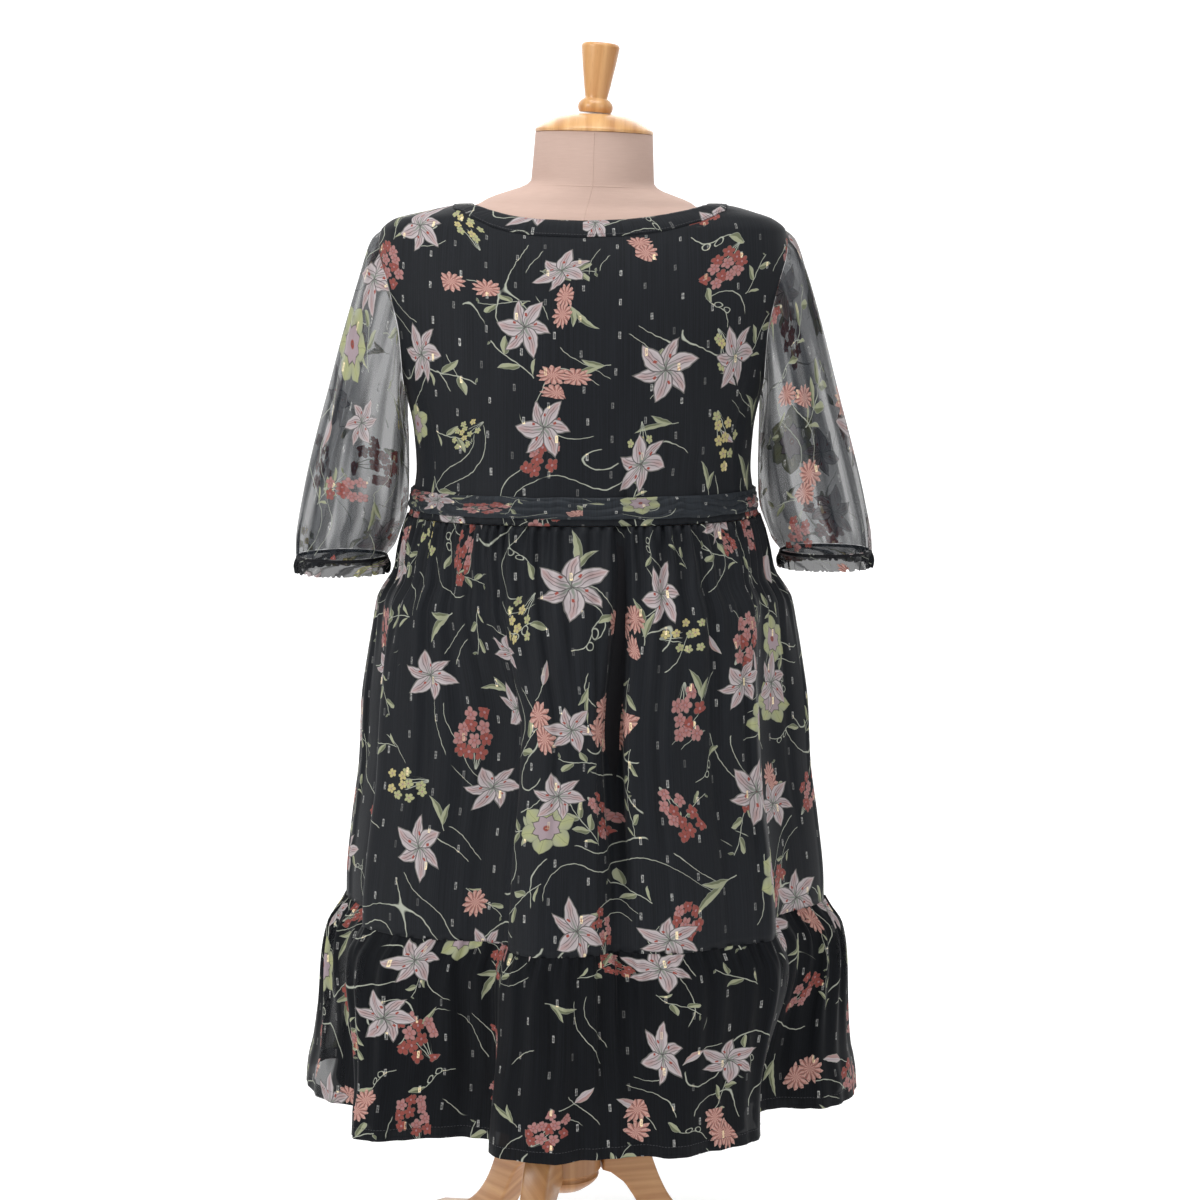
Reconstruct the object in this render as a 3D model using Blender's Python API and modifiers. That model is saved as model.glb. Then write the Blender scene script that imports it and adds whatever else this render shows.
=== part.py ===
"""A tiered shift dress with sheer gathered sleeves, standing on a limbless dress form with a tripod stand.

Units are metres and +Z is up. The back of the dress faces -Y and its right-hand side, seen from there, is +X.
The origin is on the floor, at the centre of the footprint box.
"""

import bisect
import math
from collections import namedtuple

import bmesh
import bpy
from mathutils import Vector

# ---------------------------------------------------------------- heights above the floor
HEM = 0.222
TIER_SEAM = 0.437
WAIST = 0.865
UNDERARM = 0.992
SHOULDER = 1.164
LINING_HEM = HEM + 0.005

# ---------------------------------------------------------------- cloth
WALL = 0.0016
GAP = 0.0004
BAND_WIDTH = 0.018
SEAM_CLEAR = 0.0010
NECK_SHIFT = 0.0075
BELT_LOW, BELT_HIGH, BELT_CLEAR = 0.872, 0.893, 0.0010
CUFF_WIDTH, CUFF_HALF_DEPTH = 0.019, 0.0500

# ---------------------------------------------------------------- dress form and stand
STAND_X = -0.0237
LEAN, KNOB_LEAN = math.radians(1.9), math.radians(3.2)
HUB_RADIUS = 0.042
HUB_LOW, HUB_TOP = 0.109, 0.205
LEG_TURNS = (-18, 102, -140)
LEG_WIDTH = 0.030
TORSO_LOW = 0.640
POLE_RADIUS = 0.017
CAP_TOP = 1.2862
FORM_DROP = 0.0014

# ---------------------------------------------------------------- resolution
BODICE_COLUMNS = 20
TIER_GATHERS, CUFF_GATHERS = 56, 14
COLUMNS_PER_GATHER = 3
LINING_COLUMNS, TORSO_COLUMNS = 64, 26

Section = namedtuple("Section", "height half_width back_depth front_depth squareness")
Neck = namedtuple("Neck", "turn back front")
Fold = namedtuple("Fold", "turn seam_x seam_y hem_x hem_y")
Puff = namedtuple("Puff", "share outer underarm")
Cuff = namedtuple("Cuff", "label side low centre half_width")

# The bodice's inner face. Between the underarm and the shoulder the widths run across the armhole.
BODICE = (
    Section(0.865, 0.1850, 0.1400, 0.1450, 2.30),
    Section(0.890, 0.1800, 0.1355, 0.1420, 2.30),
    Section(0.915, 0.1770, 0.1325, 0.1425, 2.30),
    Section(0.955, 0.1795, 0.1310, 0.1490, 2.30),
    Section(0.992, 0.1870, 0.1300, 0.1530, 2.30),
    Section(1.020, 0.1950, 0.1275, 0.1500, 2.25),
    Section(1.057, 0.2080, 0.1210, 0.1390, 2.20),
    Section(1.094, 0.2170, 0.1120, 0.1220, 2.20),
    Section(1.130, 0.2180, 0.1000, 0.1010, 2.15),
    Section(1.164, 0.2125, 0.0850, 0.0825, 2.10),
    Section(1.1750, 0.2000, 0.0795, 0.0770, 2.05),
    Section(1.1830, 0.1730, 0.0745, 0.0720, 2.00),
    Section(1.1880, 0.1525, 0.0715, 0.0695, 2.00),
    Section(1.1896, 0.1430, 0.0705, 0.0685, 2.00),
    Section(1.1906, 0.1225, 0.0695, 0.0675, 2.00),
    Section(1.1925, 0.0900, 0.0680, 0.0660, 2.00),
)

# The neckline's height at the back and at the front, by degrees from the centre towards the shoulder.
NECKLINE = (
    Neck(0, 1.1735, 1.1280),
    Neck(12, 1.1750, 1.1308),
    Neck(20, 1.1775, 1.1365),
    Neck(27, 1.1803, 1.1475),
    Neck(33, 1.1828, 1.1675),
    Neck(38, 1.1847, 1.1770),
    Neck(44, 1.1868, 1.1842),
    Neck(54, 1.1892, 1.1888),
    Neck(65, 1.1900, 1.1900),
    Neck(90, 1.1906, 1.1906),
)

# The skirt's inner face, from the waist down to the seam of the lower tier.
SKIRT = (
    Section(0.437, 0.2550, 0.2100, 0.2120, 2.60),
    Section(0.460, 0.2545, 0.2080, 0.2100, 2.60),
    Section(0.527, 0.2475, 0.2010, 0.2030, 2.60),
    Section(0.594, 0.2385, 0.1930, 0.1950, 2.55),
    Section(0.660, 0.2350, 0.1840, 0.1860, 2.50),
    Section(0.710, 0.2290, 0.1760, 0.1790, 2.50),
    Section(0.743, 0.2240, 0.1710, 0.1740, 2.45),
    Section(0.775, 0.2180, 0.1650, 0.1690, 2.40),
    Section(0.790, 0.2090, 0.1605, 0.1650, 2.40),
    Section(0.803, 0.2010, 0.1570, 0.1620, 2.40),
    Section(0.825, 0.1965, 0.1505, 0.1560, 2.35),
    Section(0.845, 0.1910, 0.1445, 0.1495, 2.30),
    Section(0.865, 0.1850, 0.1400, 0.1450, 2.30),
)

# The lower tier's inner face, from its seam down to the hem.
RUFFLE = (
    Section(0.222, 0.3010, 0.2140, 0.2150, 2.25),
    Section(0.245, 0.2990, 0.2140, 0.2150, 2.25),
    Section(0.273, 0.2925, 0.2140, 0.2150, 2.30),
    Section(0.324, 0.2860, 0.2130, 0.2150, 2.35),
    Section(0.375, 0.2810, 0.2120, 0.2140, 2.45),
    Section(0.409, 0.2725, 0.2110, 0.2130, 2.55),
    Section(0.428, 0.2600, 0.2100, 0.2120, 2.60),
    Section(0.437, 0.2550, 0.2100, 0.2120, 2.60),
)

# The lining's inner face, from the waist down to its own hem.
LINING = (
    Section(0.227, 0.2795, 0.1960, 0.1980, 2.30),
    Section(0.437, 0.2450, 0.1950, 0.1970, 2.50),
    Section(0.640, 0.2190, 0.1720, 0.1760, 2.50),
    Section(0.743, 0.2080, 0.1580, 0.1620, 2.45),
    Section(0.803, 0.1930, 0.1460, 0.1500, 2.40),
    Section(0.858, 0.1790, 0.1340, 0.1390, 2.30),
)

# The form's own skin: narrower than the cloth, and cut straight at the arms.
TORSO = (
    Section(0.640, 0.1680, 0.1160, 0.1200, 2.30),
    Section(0.652, 0.1740, 0.1210, 0.1250, 2.30),
    Section(0.720, 0.1780, 0.1250, 0.1280, 2.30),
    Section(0.790, 0.1770, 0.1255, 0.1290, 2.30),
    Section(0.850, 0.1690, 0.1230, 0.1270, 2.30),
    Section(0.900, 0.1620, 0.1190, 0.1270, 2.30),
    Section(0.955, 0.1680, 0.1220, 0.1390, 2.30),
    Section(1.000, 0.1790, 0.1240, 0.1460, 2.30),
    Section(1.057, 0.1930, 0.1170, 0.1320, 2.20),
    Section(1.110, 0.2030, 0.1030, 0.1090, 2.20),
    Section(1.143, 0.2040, 0.0900, 0.0900, 2.15),
    Section(1.158, 0.1990, 0.0830, 0.0810, 2.10),
    Section(1.1690, 0.1880, 0.0775, 0.0750, 2.05),
    Section(1.1780, 0.1600, 0.0720, 0.0695, 2.00),
    Section(1.1842, 0.1380, 0.0680, 0.0660, 2.00),
    Section(1.1890, 0.1185, 0.0650, 0.0635, 2.00),
    Section(1.1965, 0.1060, 0.0630, 0.0620, 2.00),
    Section(1.2020, 0.0915, 0.0615, 0.0610, 2.00),
    Section(1.2062, 0.0785, 0.0605, 0.0603, 2.00),
    Section(1.2105, 0.0690, 0.0602, 0.0602, 2.00),
    Section(1.2150, 0.0650, 0.0600, 0.0600, 2.00),
    Section(1.2280, 0.0640, 0.0600, 0.0600, 2.00),
    Section(1.2650, 0.0618, 0.0595, 0.0595, 2.00),
)

# The largest folds. A row says where the cloth that leaves the waist at this turn, in degrees from the centre
# back, crosses the tier's seam and the hem, in millimetres.
FOLDS = (
    Fold(-175, -20, 207, -26, 219),
    Fold(-168, -50, 205, -64, 214),
    Fold(-161, -80, 196, -96, 196),
    Fold(-154, -112, 186, -132, 184),
    Fold(-146, -148, 180, -180, 192),
    Fold(-138, -180, 166, -216, 172),
    Fold(-131, -205, 146, -236, 134),
    Fold(-124, -226, 120, -262, 112),
    Fold(-116, -246, 90, -296, 104),
    Fold(-108, -259, 64, -311, 78),
    Fold(-102, -262, 46, -312, 48),
    Fold(-96, -262, 29, -306, 14),
    Fold(-90, -259, 13, -295, -16),
    Fold(-85, -252, -2, -280, -38),
    Fold(-80, -242, -22, -258, -50),
    Fold(-75, -228, -45, -236, -62),
    Fold(-70, -222, -70, -226, -90),
    Fold(-66, -228, -92, -233, -122),
    Fold(-62, -231, -112, -243, -145),
    Fold(-57, -215, -128, -236, -158),
    Fold(-51, -190, -147, -217, -165),
    Fold(-45, -160, -159, -190, -161),
    Fold(-39, -130, -165, -150, -154),
    Fold(-33, -104, -168, -117, -152),
    Fold(-29, -84, -176, -97, -160),
    Fold(-26, -77, -186, -90, -178),
    Fold(-23, -75, -202, -96, -198),
    Fold(-19, -62, -221, -84, -215),
    Fold(-14, -45, -229, -57, -226),
    Fold(-8, -22, -229, -30, -234),
    Fold(-2, -2, -226, -2, -221),
    Fold(4, 18, -218, 27, -217),
    Fold(9, 36, -204, 50, -210),
    Fold(13, 54, -211, 66, -207),
    Fold(18, 75, -214, 84, -215),
    Fold(23, 97, -213, 106, -211),
    Fold(28, 118, -205, 128, -197),
    Fold(33, 138, -195, 147, -187),
    Fold(38, 158, -182, 164, -177),
    Fold(43, 177, -173, 177, -166),
    Fold(48, 193, -165, 185, -148),
    Fold(52, 199, -143, 183, -122),
    Fold(56, 197, -112, 183, -92),
    Fold(61, 202, -79, 192, -70),
    Fold(67, 216, -54, 212, -61),
    Fold(73, 233, -38, 240, -63),
    Fold(79, 247, -24, 264, -60),
    Fold(84, 257, -9, 279, -46),
    Fold(90, 262, 5, 294, -20),
    Fold(96, 263, 20, 301, 12),
    Fold(103, 261, 42, 301, 45),
    Fold(110, 249, 70, 292, 76),
    Fold(118, 232, 97, 258, 93),
    Fold(126, 214, 124, 240, 118),
    Fold(133, 194, 148, 226, 158),
    Fold(140, 168, 166, 196, 182),
    Fold(148, 134, 180, 156, 184),
    Fold(156, 102, 186, 120, 180),
    Fold(163, 74, 196, 88, 198),
    Fold(170, 44, 205, 56, 214),
    Fold(177, 12, 207, 18, 215),
)

# The same for the lining, which follows the outer cloth's folds loosely.
LINING_FOLDS = (
    Fold(-166, -58, 188, -68, 196),
    Fold(-152, -118, 170, -130, 166),
    Fold(-138, -168, 150, -196, 152),
    Fold(-122, -212, 106, -238, 98),
    Fold(-108, -239, 60, -276, 62),
    Fold(-96, -243, 27, -272, 8),
    Fold(-86, -235, -2, -250, -34),
    Fold(-78, -218, -38, -224, -56),
    Fold(-70, -209, -72, -212, -92),
    Fold(-63, -214, -98, -226, -130),
    Fold(-56, -194, -122, -217, -144),
    Fold(-46, -153, -142, -178, -144),
    Fold(-36, -110, -150, -118, -136),
    Fold(-28, -72, -166, -78, -158),
    Fold(-21, -58, -192, -74, -192),
    Fold(-12, -38, -206, -48, -210),
    Fold(0, 0, -202, 4, -200),
    Fold(9, 36, -188, 50, -194),
    Fold(18, 75, -196, 84, -198),
    Fold(28, 114, -186, 122, -180),
    Fold(38, 150, -164, 152, -160),
    Fold(46, 178, -148, 168, -142),
    Fold(54, 182, -112, 168, -104),
    Fold(62, 190, -68, 180, -60),
    Fold(72, 220, -32, 220, -46),
    Fold(82, 239, -6, 260, -42),
    Fold(92, 243, 12, 280, -12),
    Fold(104, 241, 42, 288, 36),
    Fold(116, 222, 86, 246, 80),
    Fold(130, 188, 132, 216, 126),
    Fold(146, 132, 164, 150, 166),
    Fold(160, 80, 180, 90, 180),
    Fold(172, 34, 190, 42, 198),
)

# How far the sleeve puffs out of the straight line from its armhole to its cuff, in millimetres.
SLEEVE_PUFF = (
    Puff(0.00, 0.0, 0.0),
    Puff(0.02, 6.0, -1.5),
    Puff(0.06, 8.8, -2.0),
    Puff(0.15, 10.3, 1.0),
    Puff(0.30, 11.0, 7.5),
    Puff(0.50, 9.5, 13.0),
    Puff(0.70, 8.5, 16.0),
    Puff(0.86, 6.5, 10.6),
    Puff(0.93, 4.5, 7.4),
    Puff(1.00, 0.0, 0.0),
)

# The two cuffs, which hang at slightly different heights.
CUFFS = (
    Cuff("left", -1, 0.8005, 0.2602, 0.0466),
    Cuff("right", 1, 0.8065, 0.2602, 0.0470),
)

# Heights of the bodice's rows, as they pass the side seam, the armhole and the shoulder seam. The last row lies
# along the neck band.
SIDE_ROWS = (WAIST, 0.888, 0.925, 0.958, UNDERARM)
ARMHOLE_ROWS = (1.010, 1.038, 1.072, 1.106, 1.136, 1.154, SHOULDER)
SHOULDER_ROWS = (1.1755, 1.1845)
SKIRT_ROWS = (0.8646, 0.838, 0.790, 0.705, 0.570, 0.4374)
RUFFLE_ROWS = (0.4366, 0.402, 0.322, HEM)
LINING_ROWS = (0.858, 0.790, 0.680, 0.500, LINING_HEM)
# The belt's thickness in millimetres, by its share of the way up.
BELT_ROWS = ((0.0, 1.2), (0.28, 2.9), (0.52, 1.9), (0.76, 3.0), (1.0, 1.2))
SLEEVE_SHARES = (0.0, 0.03, 0.09, 0.20, 0.36, 0.54, 0.71, 0.84, 0.93, 1.0)

LINEN = ("form_linen", (0.56, 0.42, 0.38), 0.85)
WOOD = ("form_wood", (0.66, 0.38, 0.16), 0.38)
PRINTED = ("printed_georgette", (0.016, 0.018, 0.026), 0.70)
SHEER = ("sheer_georgette", (0.060, 0.068, 0.085), 0.65)
LINING_CLOTH = ("black_lining", (0.006, 0.006, 0.008), 0.60)


# ---------------------------------------------------------------- curves and tables
class Curve:
    """A smooth curve through points that never swings past them."""

    def __init__(self, xs, ys):
        self.xs, self.ys = list(xs), list(ys)
        pairs = list(zip(self.xs, self.ys))
        steps = [(b[1] - a[1]) / (b[0] - a[0]) for a, b in zip(pairs, pairs[1:])]
        self.slopes = [steps[0]]
        for before, after in zip(steps, steps[1:]):
            same_way = before * after > 0
            self.slopes.append(2 * before * after / (before + after) if same_way else 0.0)
        self.slopes.append(steps[-1])

    def at(self, x):
        x = min(max(x, self.xs[0]), self.xs[-1])
        i = min(bisect.bisect_right(self.xs, x) - 1, len(self.xs) - 2)
        width = self.xs[i + 1] - self.xs[i]
        t = (x - self.xs[i]) / width
        rise = self.ys[i + 1] - self.ys[i]
        start, end = self.slopes[i] * width, self.slopes[i + 1] * width
        return self.ys[i] + start * t + (3 * rise - 2 * start - end) * t**2 + (start + end - 2 * rise) * t**3


class Sections:
    """A table of sections, read at any height."""

    def __init__(self, rows):
        heights = [row.height for row in rows]
        self.curves = [Curve(heights, column) for column in list(zip(*rows))[1:]]

    def at(self, height):
        return Section(height, *(curve.at(height) for curve in self.curves))


def round_the_ring(turns, values):
    """A curve over turns in degrees that closes on itself."""
    xs = [turn - 360 for turn in turns[-3:]] + turns + [turn + 360 for turn in turns[:3]]
    return Curve(xs, values[-3:] + values + values[:3])


class Hang:
    """How far the folds move each turn of a ring sideways, at the tier's seam and at the hem."""

    def __init__(self, rows, seam_section, hem_section):
        turns = [row.turn for row in rows]
        at_seam = [on_section(seam_section, math.radians(turn)) for turn in turns]
        at_hem = [on_section(hem_section, math.radians(turn)) for turn in turns]
        self.seam_x = round_the_ring(turns, [r.seam_x / 1000 - p.x for r, p in zip(rows, at_seam)])
        self.seam_y = round_the_ring(turns, [r.seam_y / 1000 - p.y for r, p in zip(rows, at_seam)])
        self.hem_x = round_the_ring(turns, [r.hem_x / 1000 - p.x for r, p in zip(rows, at_hem)])
        self.hem_y = round_the_ring(turns, [r.hem_y / 1000 - p.y for r, p in zip(rows, at_hem)])

    def at_seam(self, turn):
        degrees = (math.degrees(turn) + 180) % 360 - 180
        return Vector((self.seam_x.at(degrees), self.seam_y.at(degrees), 0))

    def at_hem(self, turn):
        degrees = (math.degrees(turn) + 180) % 360 - 180
        return Vector((self.hem_x.at(degrees), self.hem_y.at(degrees), 0))


def eased(low, high, x):
    """0 below low and 1 above high, with a smooth rise between them."""
    t = min(max((x - low) / (high - low), 0.0), 1.0)
    return t * t * (3 - 2 * t)


def power(value, exponent):
    return math.copysign(abs(value) ** exponent, value)


# ---------------------------------------------------------------- surfaces
def on_section(section, turn):
    """A point of a section. The turn is in radians from the centre back, towards +X."""
    exponent = 2.0 / section.squareness
    along = math.cos(turn)
    depth = section.back_depth if along > 0 else section.front_depth
    x = section.half_width * power(math.sin(turn), exponent)
    return Vector((x, -depth * power(along, exponent), section.height))


bodice_sections = Sections(BODICE)
skirt_sections = Sections(SKIRT)
ruffle_sections = Sections(RUFFLE)
lining_sections = Sections(LINING)
outer_folds = Hang(FOLDS, skirt_sections.at(TIER_SEAM), ruffle_sections.at(HEM))
lining_folds = Hang(LINING_FOLDS, lining_sections.at(TIER_SEAM), lining_sections.at(LINING_HEM))
neck_turns, back_heights, front_heights = zip(*NECKLINE)
back_neckline = Curve(neck_turns, back_heights)
front_neckline = Curve(neck_turns, front_heights)
puff_shares, outer_puffs, underarm_puffs = zip(*SLEEVE_PUFF)
outer_puff = Curve(puff_shares, outer_puffs)
underarm_puff = Curve(puff_shares, underarm_puffs)


def level_outward(point_at, turn, height, step=0.008):
    """The level direction out of a ring at a turn."""
    along = point_at(turn + step, height) - point_at(turn - step, height)
    return Vector((along.y, -along.x, 0.0)).normalized()


def bodice_point(turn, height):
    """The bodice's inner face. Its neckline sits a little towards the leaning neck."""
    shift = NECK_SHIFT * eased(1.174, 1.190, height)
    return on_section(bodice_sections.at(height), turn) + Vector((shift, 0, 0))


def bodice_outward(turn, height):
    """The direction out of the bodice, square to its cloth."""
    across = bodice_point(turn + 0.03, height) - bodice_point(turn - 0.03, height)
    upward = bodice_point(turn, height + 0.0008) - bodice_point(turn, height - 0.0008)
    return across.cross(upward).normalized()


def gathers(turn, count, phase):
    """A wave round the ring, uneven as hand-set gathers are, from -1 to 1."""
    drift = 0.30 * math.sin(3 * turn + phase) + 0.22 * math.sin(7 * turn - phase)
    return math.cos(count * turn + drift)


def hanging_skirt(turn, height):
    """The skirt without its gathers: its section, moved sideways by the folds that grow below the waist."""
    share = eased(WAIST, 0.640, height)
    return on_section(skirt_sections.at(height), turn) + outer_folds.at_seam(turn) * share


def skirt_point(turn, height):
    fullness = 0.0008 + 0.0014 * eased(WAIST, 0.845, height)
    wave = fullness * eased(0.640, 0.800, height) * gathers(turn, TIER_GATHERS, 1.0)
    return hanging_skirt(turn, height) + level_outward(hanging_skirt, turn, height) * wave


def hanging_ruffle(turn, height):
    share = eased(TIER_SEAM, HEM, height)
    moved = outer_folds.at_seam(turn) * (1 - share) + outer_folds.at_hem(turn) * share
    return on_section(ruffle_sections.at(height), turn) + moved


def ruffle_point(turn, height):
    """The lower tier, with gathers that fade towards its hem."""
    fullness = 0.0006 + 0.0018 * eased(TIER_SEAM, 0.405, height)
    wave = fullness * (0.35 + 0.65 * eased(0.250, 0.390, height)) * gathers(turn, TIER_GATHERS, 2.4)
    return hanging_ruffle(turn, height) + level_outward(hanging_ruffle, turn, height) * wave


def lining_point(turn, height):
    share = eased(0.845, 0.600, height)
    towards_hem = eased(TIER_SEAM, LINING_HEM, height)
    moved = lining_folds.at_seam(turn) * (1 - towards_hem) + lining_folds.at_hem(turn) * towards_hem
    return on_section(lining_sections.at(height), turn) + moved * share


# ---------------------------------------------------------------- making solids
def make_material(name, colour, roughness):
    material = bpy.data.materials.new(name)
    material.use_nodes = True
    shader = material.node_tree.nodes["Principled BSDF"]
    shader.inputs["Base Color"].default_value = (*colour, 1.0)
    shader.inputs["Roughness"].default_value = roughness
    shader.inputs["Metallic"].default_value = 0.0
    material.diffuse_color = (*colour, 1.0)
    return material


def add_object(name, mesh_data, material, parent):
    """Links a finished mesh as one named piece."""
    piece = bpy.data.objects.new(name, mesh_data)
    dress_collection.objects.link(piece)
    mesh_data.materials.append(materials[material[0]])
    mesh_data.shade_smooth()
    mesh_data.set_sharp_from_angle(angle=math.radians(42))
    piece.parent = parent
    return piece


def add_wall(name, material, inner, outer, parent, closed=False):
    """A cloth wall between two grids of points, each a list of rows, with its edges closed."""
    shape = bmesh.new()
    layers = [[[shape.verts.new(point) for point in row] for row in grid] for grid in (inner, outer)]
    rows, columns = len(inner), len(inner[0])
    steps = columns if closed else columns - 1
    for j in range(steps):
        k = (j + 1) % columns
        for layer in layers:
            for i in range(rows - 1):
                shape.faces.new((layer[i][j], layer[i][k], layer[i + 1][k], layer[i + 1][j]))
        for i in (0, rows - 1):
            shape.faces.new((layers[0][i][j], layers[0][i][k], layers[1][i][k], layers[1][i][j]))
    if not closed:
        for j in (0, columns - 1):
            for i in range(rows - 1):
                ends = layers[0][i][j], layers[0][i + 1][j], layers[1][i + 1][j], layers[1][i][j]
                shape.faces.new(ends)
    bmesh.ops.recalc_face_normals(shape, faces=shape.faces)
    mesh_data = bpy.data.meshes.new(name)
    shape.to_mesh(mesh_data)
    shape.free()
    return add_object(name, mesh_data, material, parent)


def add_loft(name, material, rings, parent):
    """A closed solid through unlike rings, with flat ends."""
    shape = bmesh.new()
    loops = [[shape.verts.new(point) for point in ring] for ring in rings]
    count = len(rings[0])
    for low, high in zip(loops, loops[1:]):
        for j in range(count):
            k = (j + 1) % count
            shape.faces.new((low[j], low[k], high[k], high[j]))
    shape.faces.new(loops[0])
    shape.faces.new(loops[-1])
    bmesh.ops.recalc_face_normals(shape, faces=shape.faces)
    mesh_data = bpy.data.meshes.new(name)
    shape.to_mesh(mesh_data)
    shape.free()
    return add_object(name, mesh_data, material, parent)


def add_turned(name, material, profile, sides, parent):
    """A piece turned on a lathe. The profile is (radius, height), top to bottom, ending on the axis."""
    mesh_data = bpy.data.meshes.new(name)
    points = [(radius, 0.0, height) for radius, height in profile]
    mesh_data.from_pydata(points, [(i, i + 1) for i in range(len(points) - 1)], [])
    piece = add_object(name, mesh_data, material, parent)
    screw = piece.modifiers.new("lathe", "SCREW")
    screw.steps = screw.render_steps = sides
    screw.use_merge_vertices = True
    screw.merge_threshold = 0.00005
    return piece


def ring_rows(point_at, heights, turns, wall=WALL):
    """The inner and outer grids of a wall whose thickness is level all round."""
    inner = [[point_at(turn, height) for turn in turns] for height in heights]
    outer = [
        [point_at(turn, height) + level_outward(point_at, turn, height) * wall for turn in turns]
        for height in heights
    ]
    return inner, outer


def turns_round(count):
    return [2 * math.pi * i / count for i in range(count)]


def panel_turns(centre, count, radius):
    """Turns across half a ring, from seam to seam, with half the seam's gap left at each end."""
    edge = math.pi / 2 - 0.5 * GAP / radius
    return [centre + edge * (2 * i / count - 1) for i in range(count + 1)]


# ---------------------------------------------------------------- bodice, neck band and belt
def neck_height(turn):
    """The neckline's height, level with the shoulder at the sides and lower at the centre."""
    degrees = math.degrees(math.asin(min(1.0, abs(math.sin(turn)))))
    return (back_neckline if math.cos(turn) > 0 else front_neckline).at(degrees)


def band_drop(turn):
    """How much lower the neck band's seam is than the neckline at the same turn, for a band of even width."""
    height = neck_height(turn)
    top = bodice_point(turn, height)
    before, after = turn - 0.02, turn + 0.02
    along = bodice_point(after, neck_height(after)) - bodice_point(before, neck_height(before))
    along.normalize()
    low, high = 0.0, 0.035
    for _ in range(18):
        drop = 0.5 * (low + high)
        if (top - bodice_point(turn, height - drop)).cross(along).length < BAND_WIDTH:
            low = drop
        else:
            high = drop
    return drop


def side_top():
    """The height of the neck band's seam where it crosses the shoulder seam."""
    return neck_height(math.pi / 2) - band_drop(math.pi / 2)


def armhole_turn(side_height, centre):
    """How far a bodice row reaches round towards the side, in radians from its panel's centre."""
    section = bodice_sections.at(side_height)
    depth = section.back_depth if centre == 0 else section.front_depth
    edge = math.pi / 2 - (0.5 * GAP / depth) ** (section.squareness / 2)
    share = (side_height - UNDERARM) / (SHOULDER - UNDERARM)
    if not 0 < share < 1:
        return edge
    scoop = math.radians(26 if centre == 0 else 31)
    return edge - scoop * math.sin(math.pi * share) ** 0.8


def bodice_row(side_height, centre, edge, count):
    """One row of a bodice panel, as (turn, height) pairs from its left edge to its right."""
    turns = [centre + edge * (2 * i / count - 1) for i in range(count + 1)]
    share = (side_height - WAIST) / (side_top() - WAIST)
    tops = [neck_height(t) - band_drop(t) - SEAM_CLEAR * abs(math.cos(t)) for t in turns]
    return [(t, WAIST + share * (top - WAIST)) for t, top in zip(turns, tops)]


def add_bodice(name, centre):
    rows = []
    for side_height in SIDE_ROWS + ARMHOLE_ROWS + SHOULDER_ROWS + (side_top(),):
        edge = armhole_turn(side_height, centre)
        rows.append(bodice_row(side_height, centre, edge, BODICE_COLUMNS))
    inner = [[bodice_point(t, h) for t, h in row] for row in rows]
    outer = [[bodice_point(t, h) + bodice_outward(t, h) * WALL for t, h in row] for row in rows]
    return add_wall(name, PRINTED, inner, outer, garment)


def add_neck_band():
    """A bias band all round the neckline, seamed to the bodice along its lower edge."""
    inner, outer = [], []
    for share in (0.0, 1.0):
        inner.append([])
        outer.append([])
        for turn in turns_round(2 * BODICE_COLUMNS):
            seam = neck_height(turn) - band_drop(turn) * (1 - GAP / BAND_WIDTH)
            height = seam + share * (neck_height(turn) - seam)
            point = bodice_point(turn, height)
            inner[-1].append(point)
            outer[-1].append(point + bodice_outward(turn, height) * WALL)
    return add_wall("neck_band", PRINTED, inner, outer, garment, closed=True)


def on_bodice(turn, height, out):
    """A point this far out of the bodice's outer face."""
    return bodice_point(turn, height) + bodice_outward(turn, height) * (WALL + out)


def add_belt():
    """A soft belt, bunched into a narrow band round the waist and joined at the centre front."""
    turns = turns_round(2 * BODICE_COLUMNS)
    inner, outer = [], []
    for share, thickness in BELT_ROWS:
        height = BELT_LOW + share * (BELT_HIGH - BELT_LOW)
        inner.append([on_bodice(turn, height, BELT_CLEAR) for turn in turns])
        outer.append([on_bodice(turn, height, BELT_CLEAR + thickness / 1000) for turn in turns])
    return add_wall("waist_belt", PRINTED, inner, outer, garment, closed=True)


# ---------------------------------------------------------------- skirt tiers and lining
def add_tier(name, point_at, heights, centre, material, radius):
    columns = TIER_GATHERS * COLUMNS_PER_GATHER // 2
    inner, outer = ring_rows(point_at, heights, panel_turns(centre, columns, radius))
    return add_wall(name, material, inner, outer, garment)


def add_lining():
    inner, outer = ring_rows(lining_point, LINING_ROWS, turns_round(LINING_COLUMNS), 0.0012)
    return add_wall("skirt_lining", LINING_CLOTH, inner, outer, garment, closed=True)


# ---------------------------------------------------------------- sleeves
def armhole_edge(side):
    """Round the armhole: each corner's outer point, the way out of the bodice and that out of its panel."""
    corners = []
    rows = (UNDERARM,) + ARMHOLE_ROWS
    back = [(h, 0.0) for h in rows]
    front = [(h, math.pi) for h in rows[-2:0:-1]]
    for side_height, centre in back + front:
        edge = armhole_turn(side_height, centre)
        turn = side * edge if centre == 0 else math.pi - side * edge
        height = bodice_row(side_height, centre, edge, 1)[0][1]
        outward = bodice_outward(turn, height)
        corners.append((bodice_point(turn, height) + outward * WALL, outward))
    count = len(corners)
    edges = []
    for i, (point, outward) in enumerate(corners):
        along = corners[(i + 1) % count][0] - corners[i - 1][0]
        away = along.cross(outward).normalized() * side
        edges.append((point, outward, away))
    return edges


def between(a, b, share):
    return tuple(p.lerp(q, share) for p, q in zip(a, b))


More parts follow.
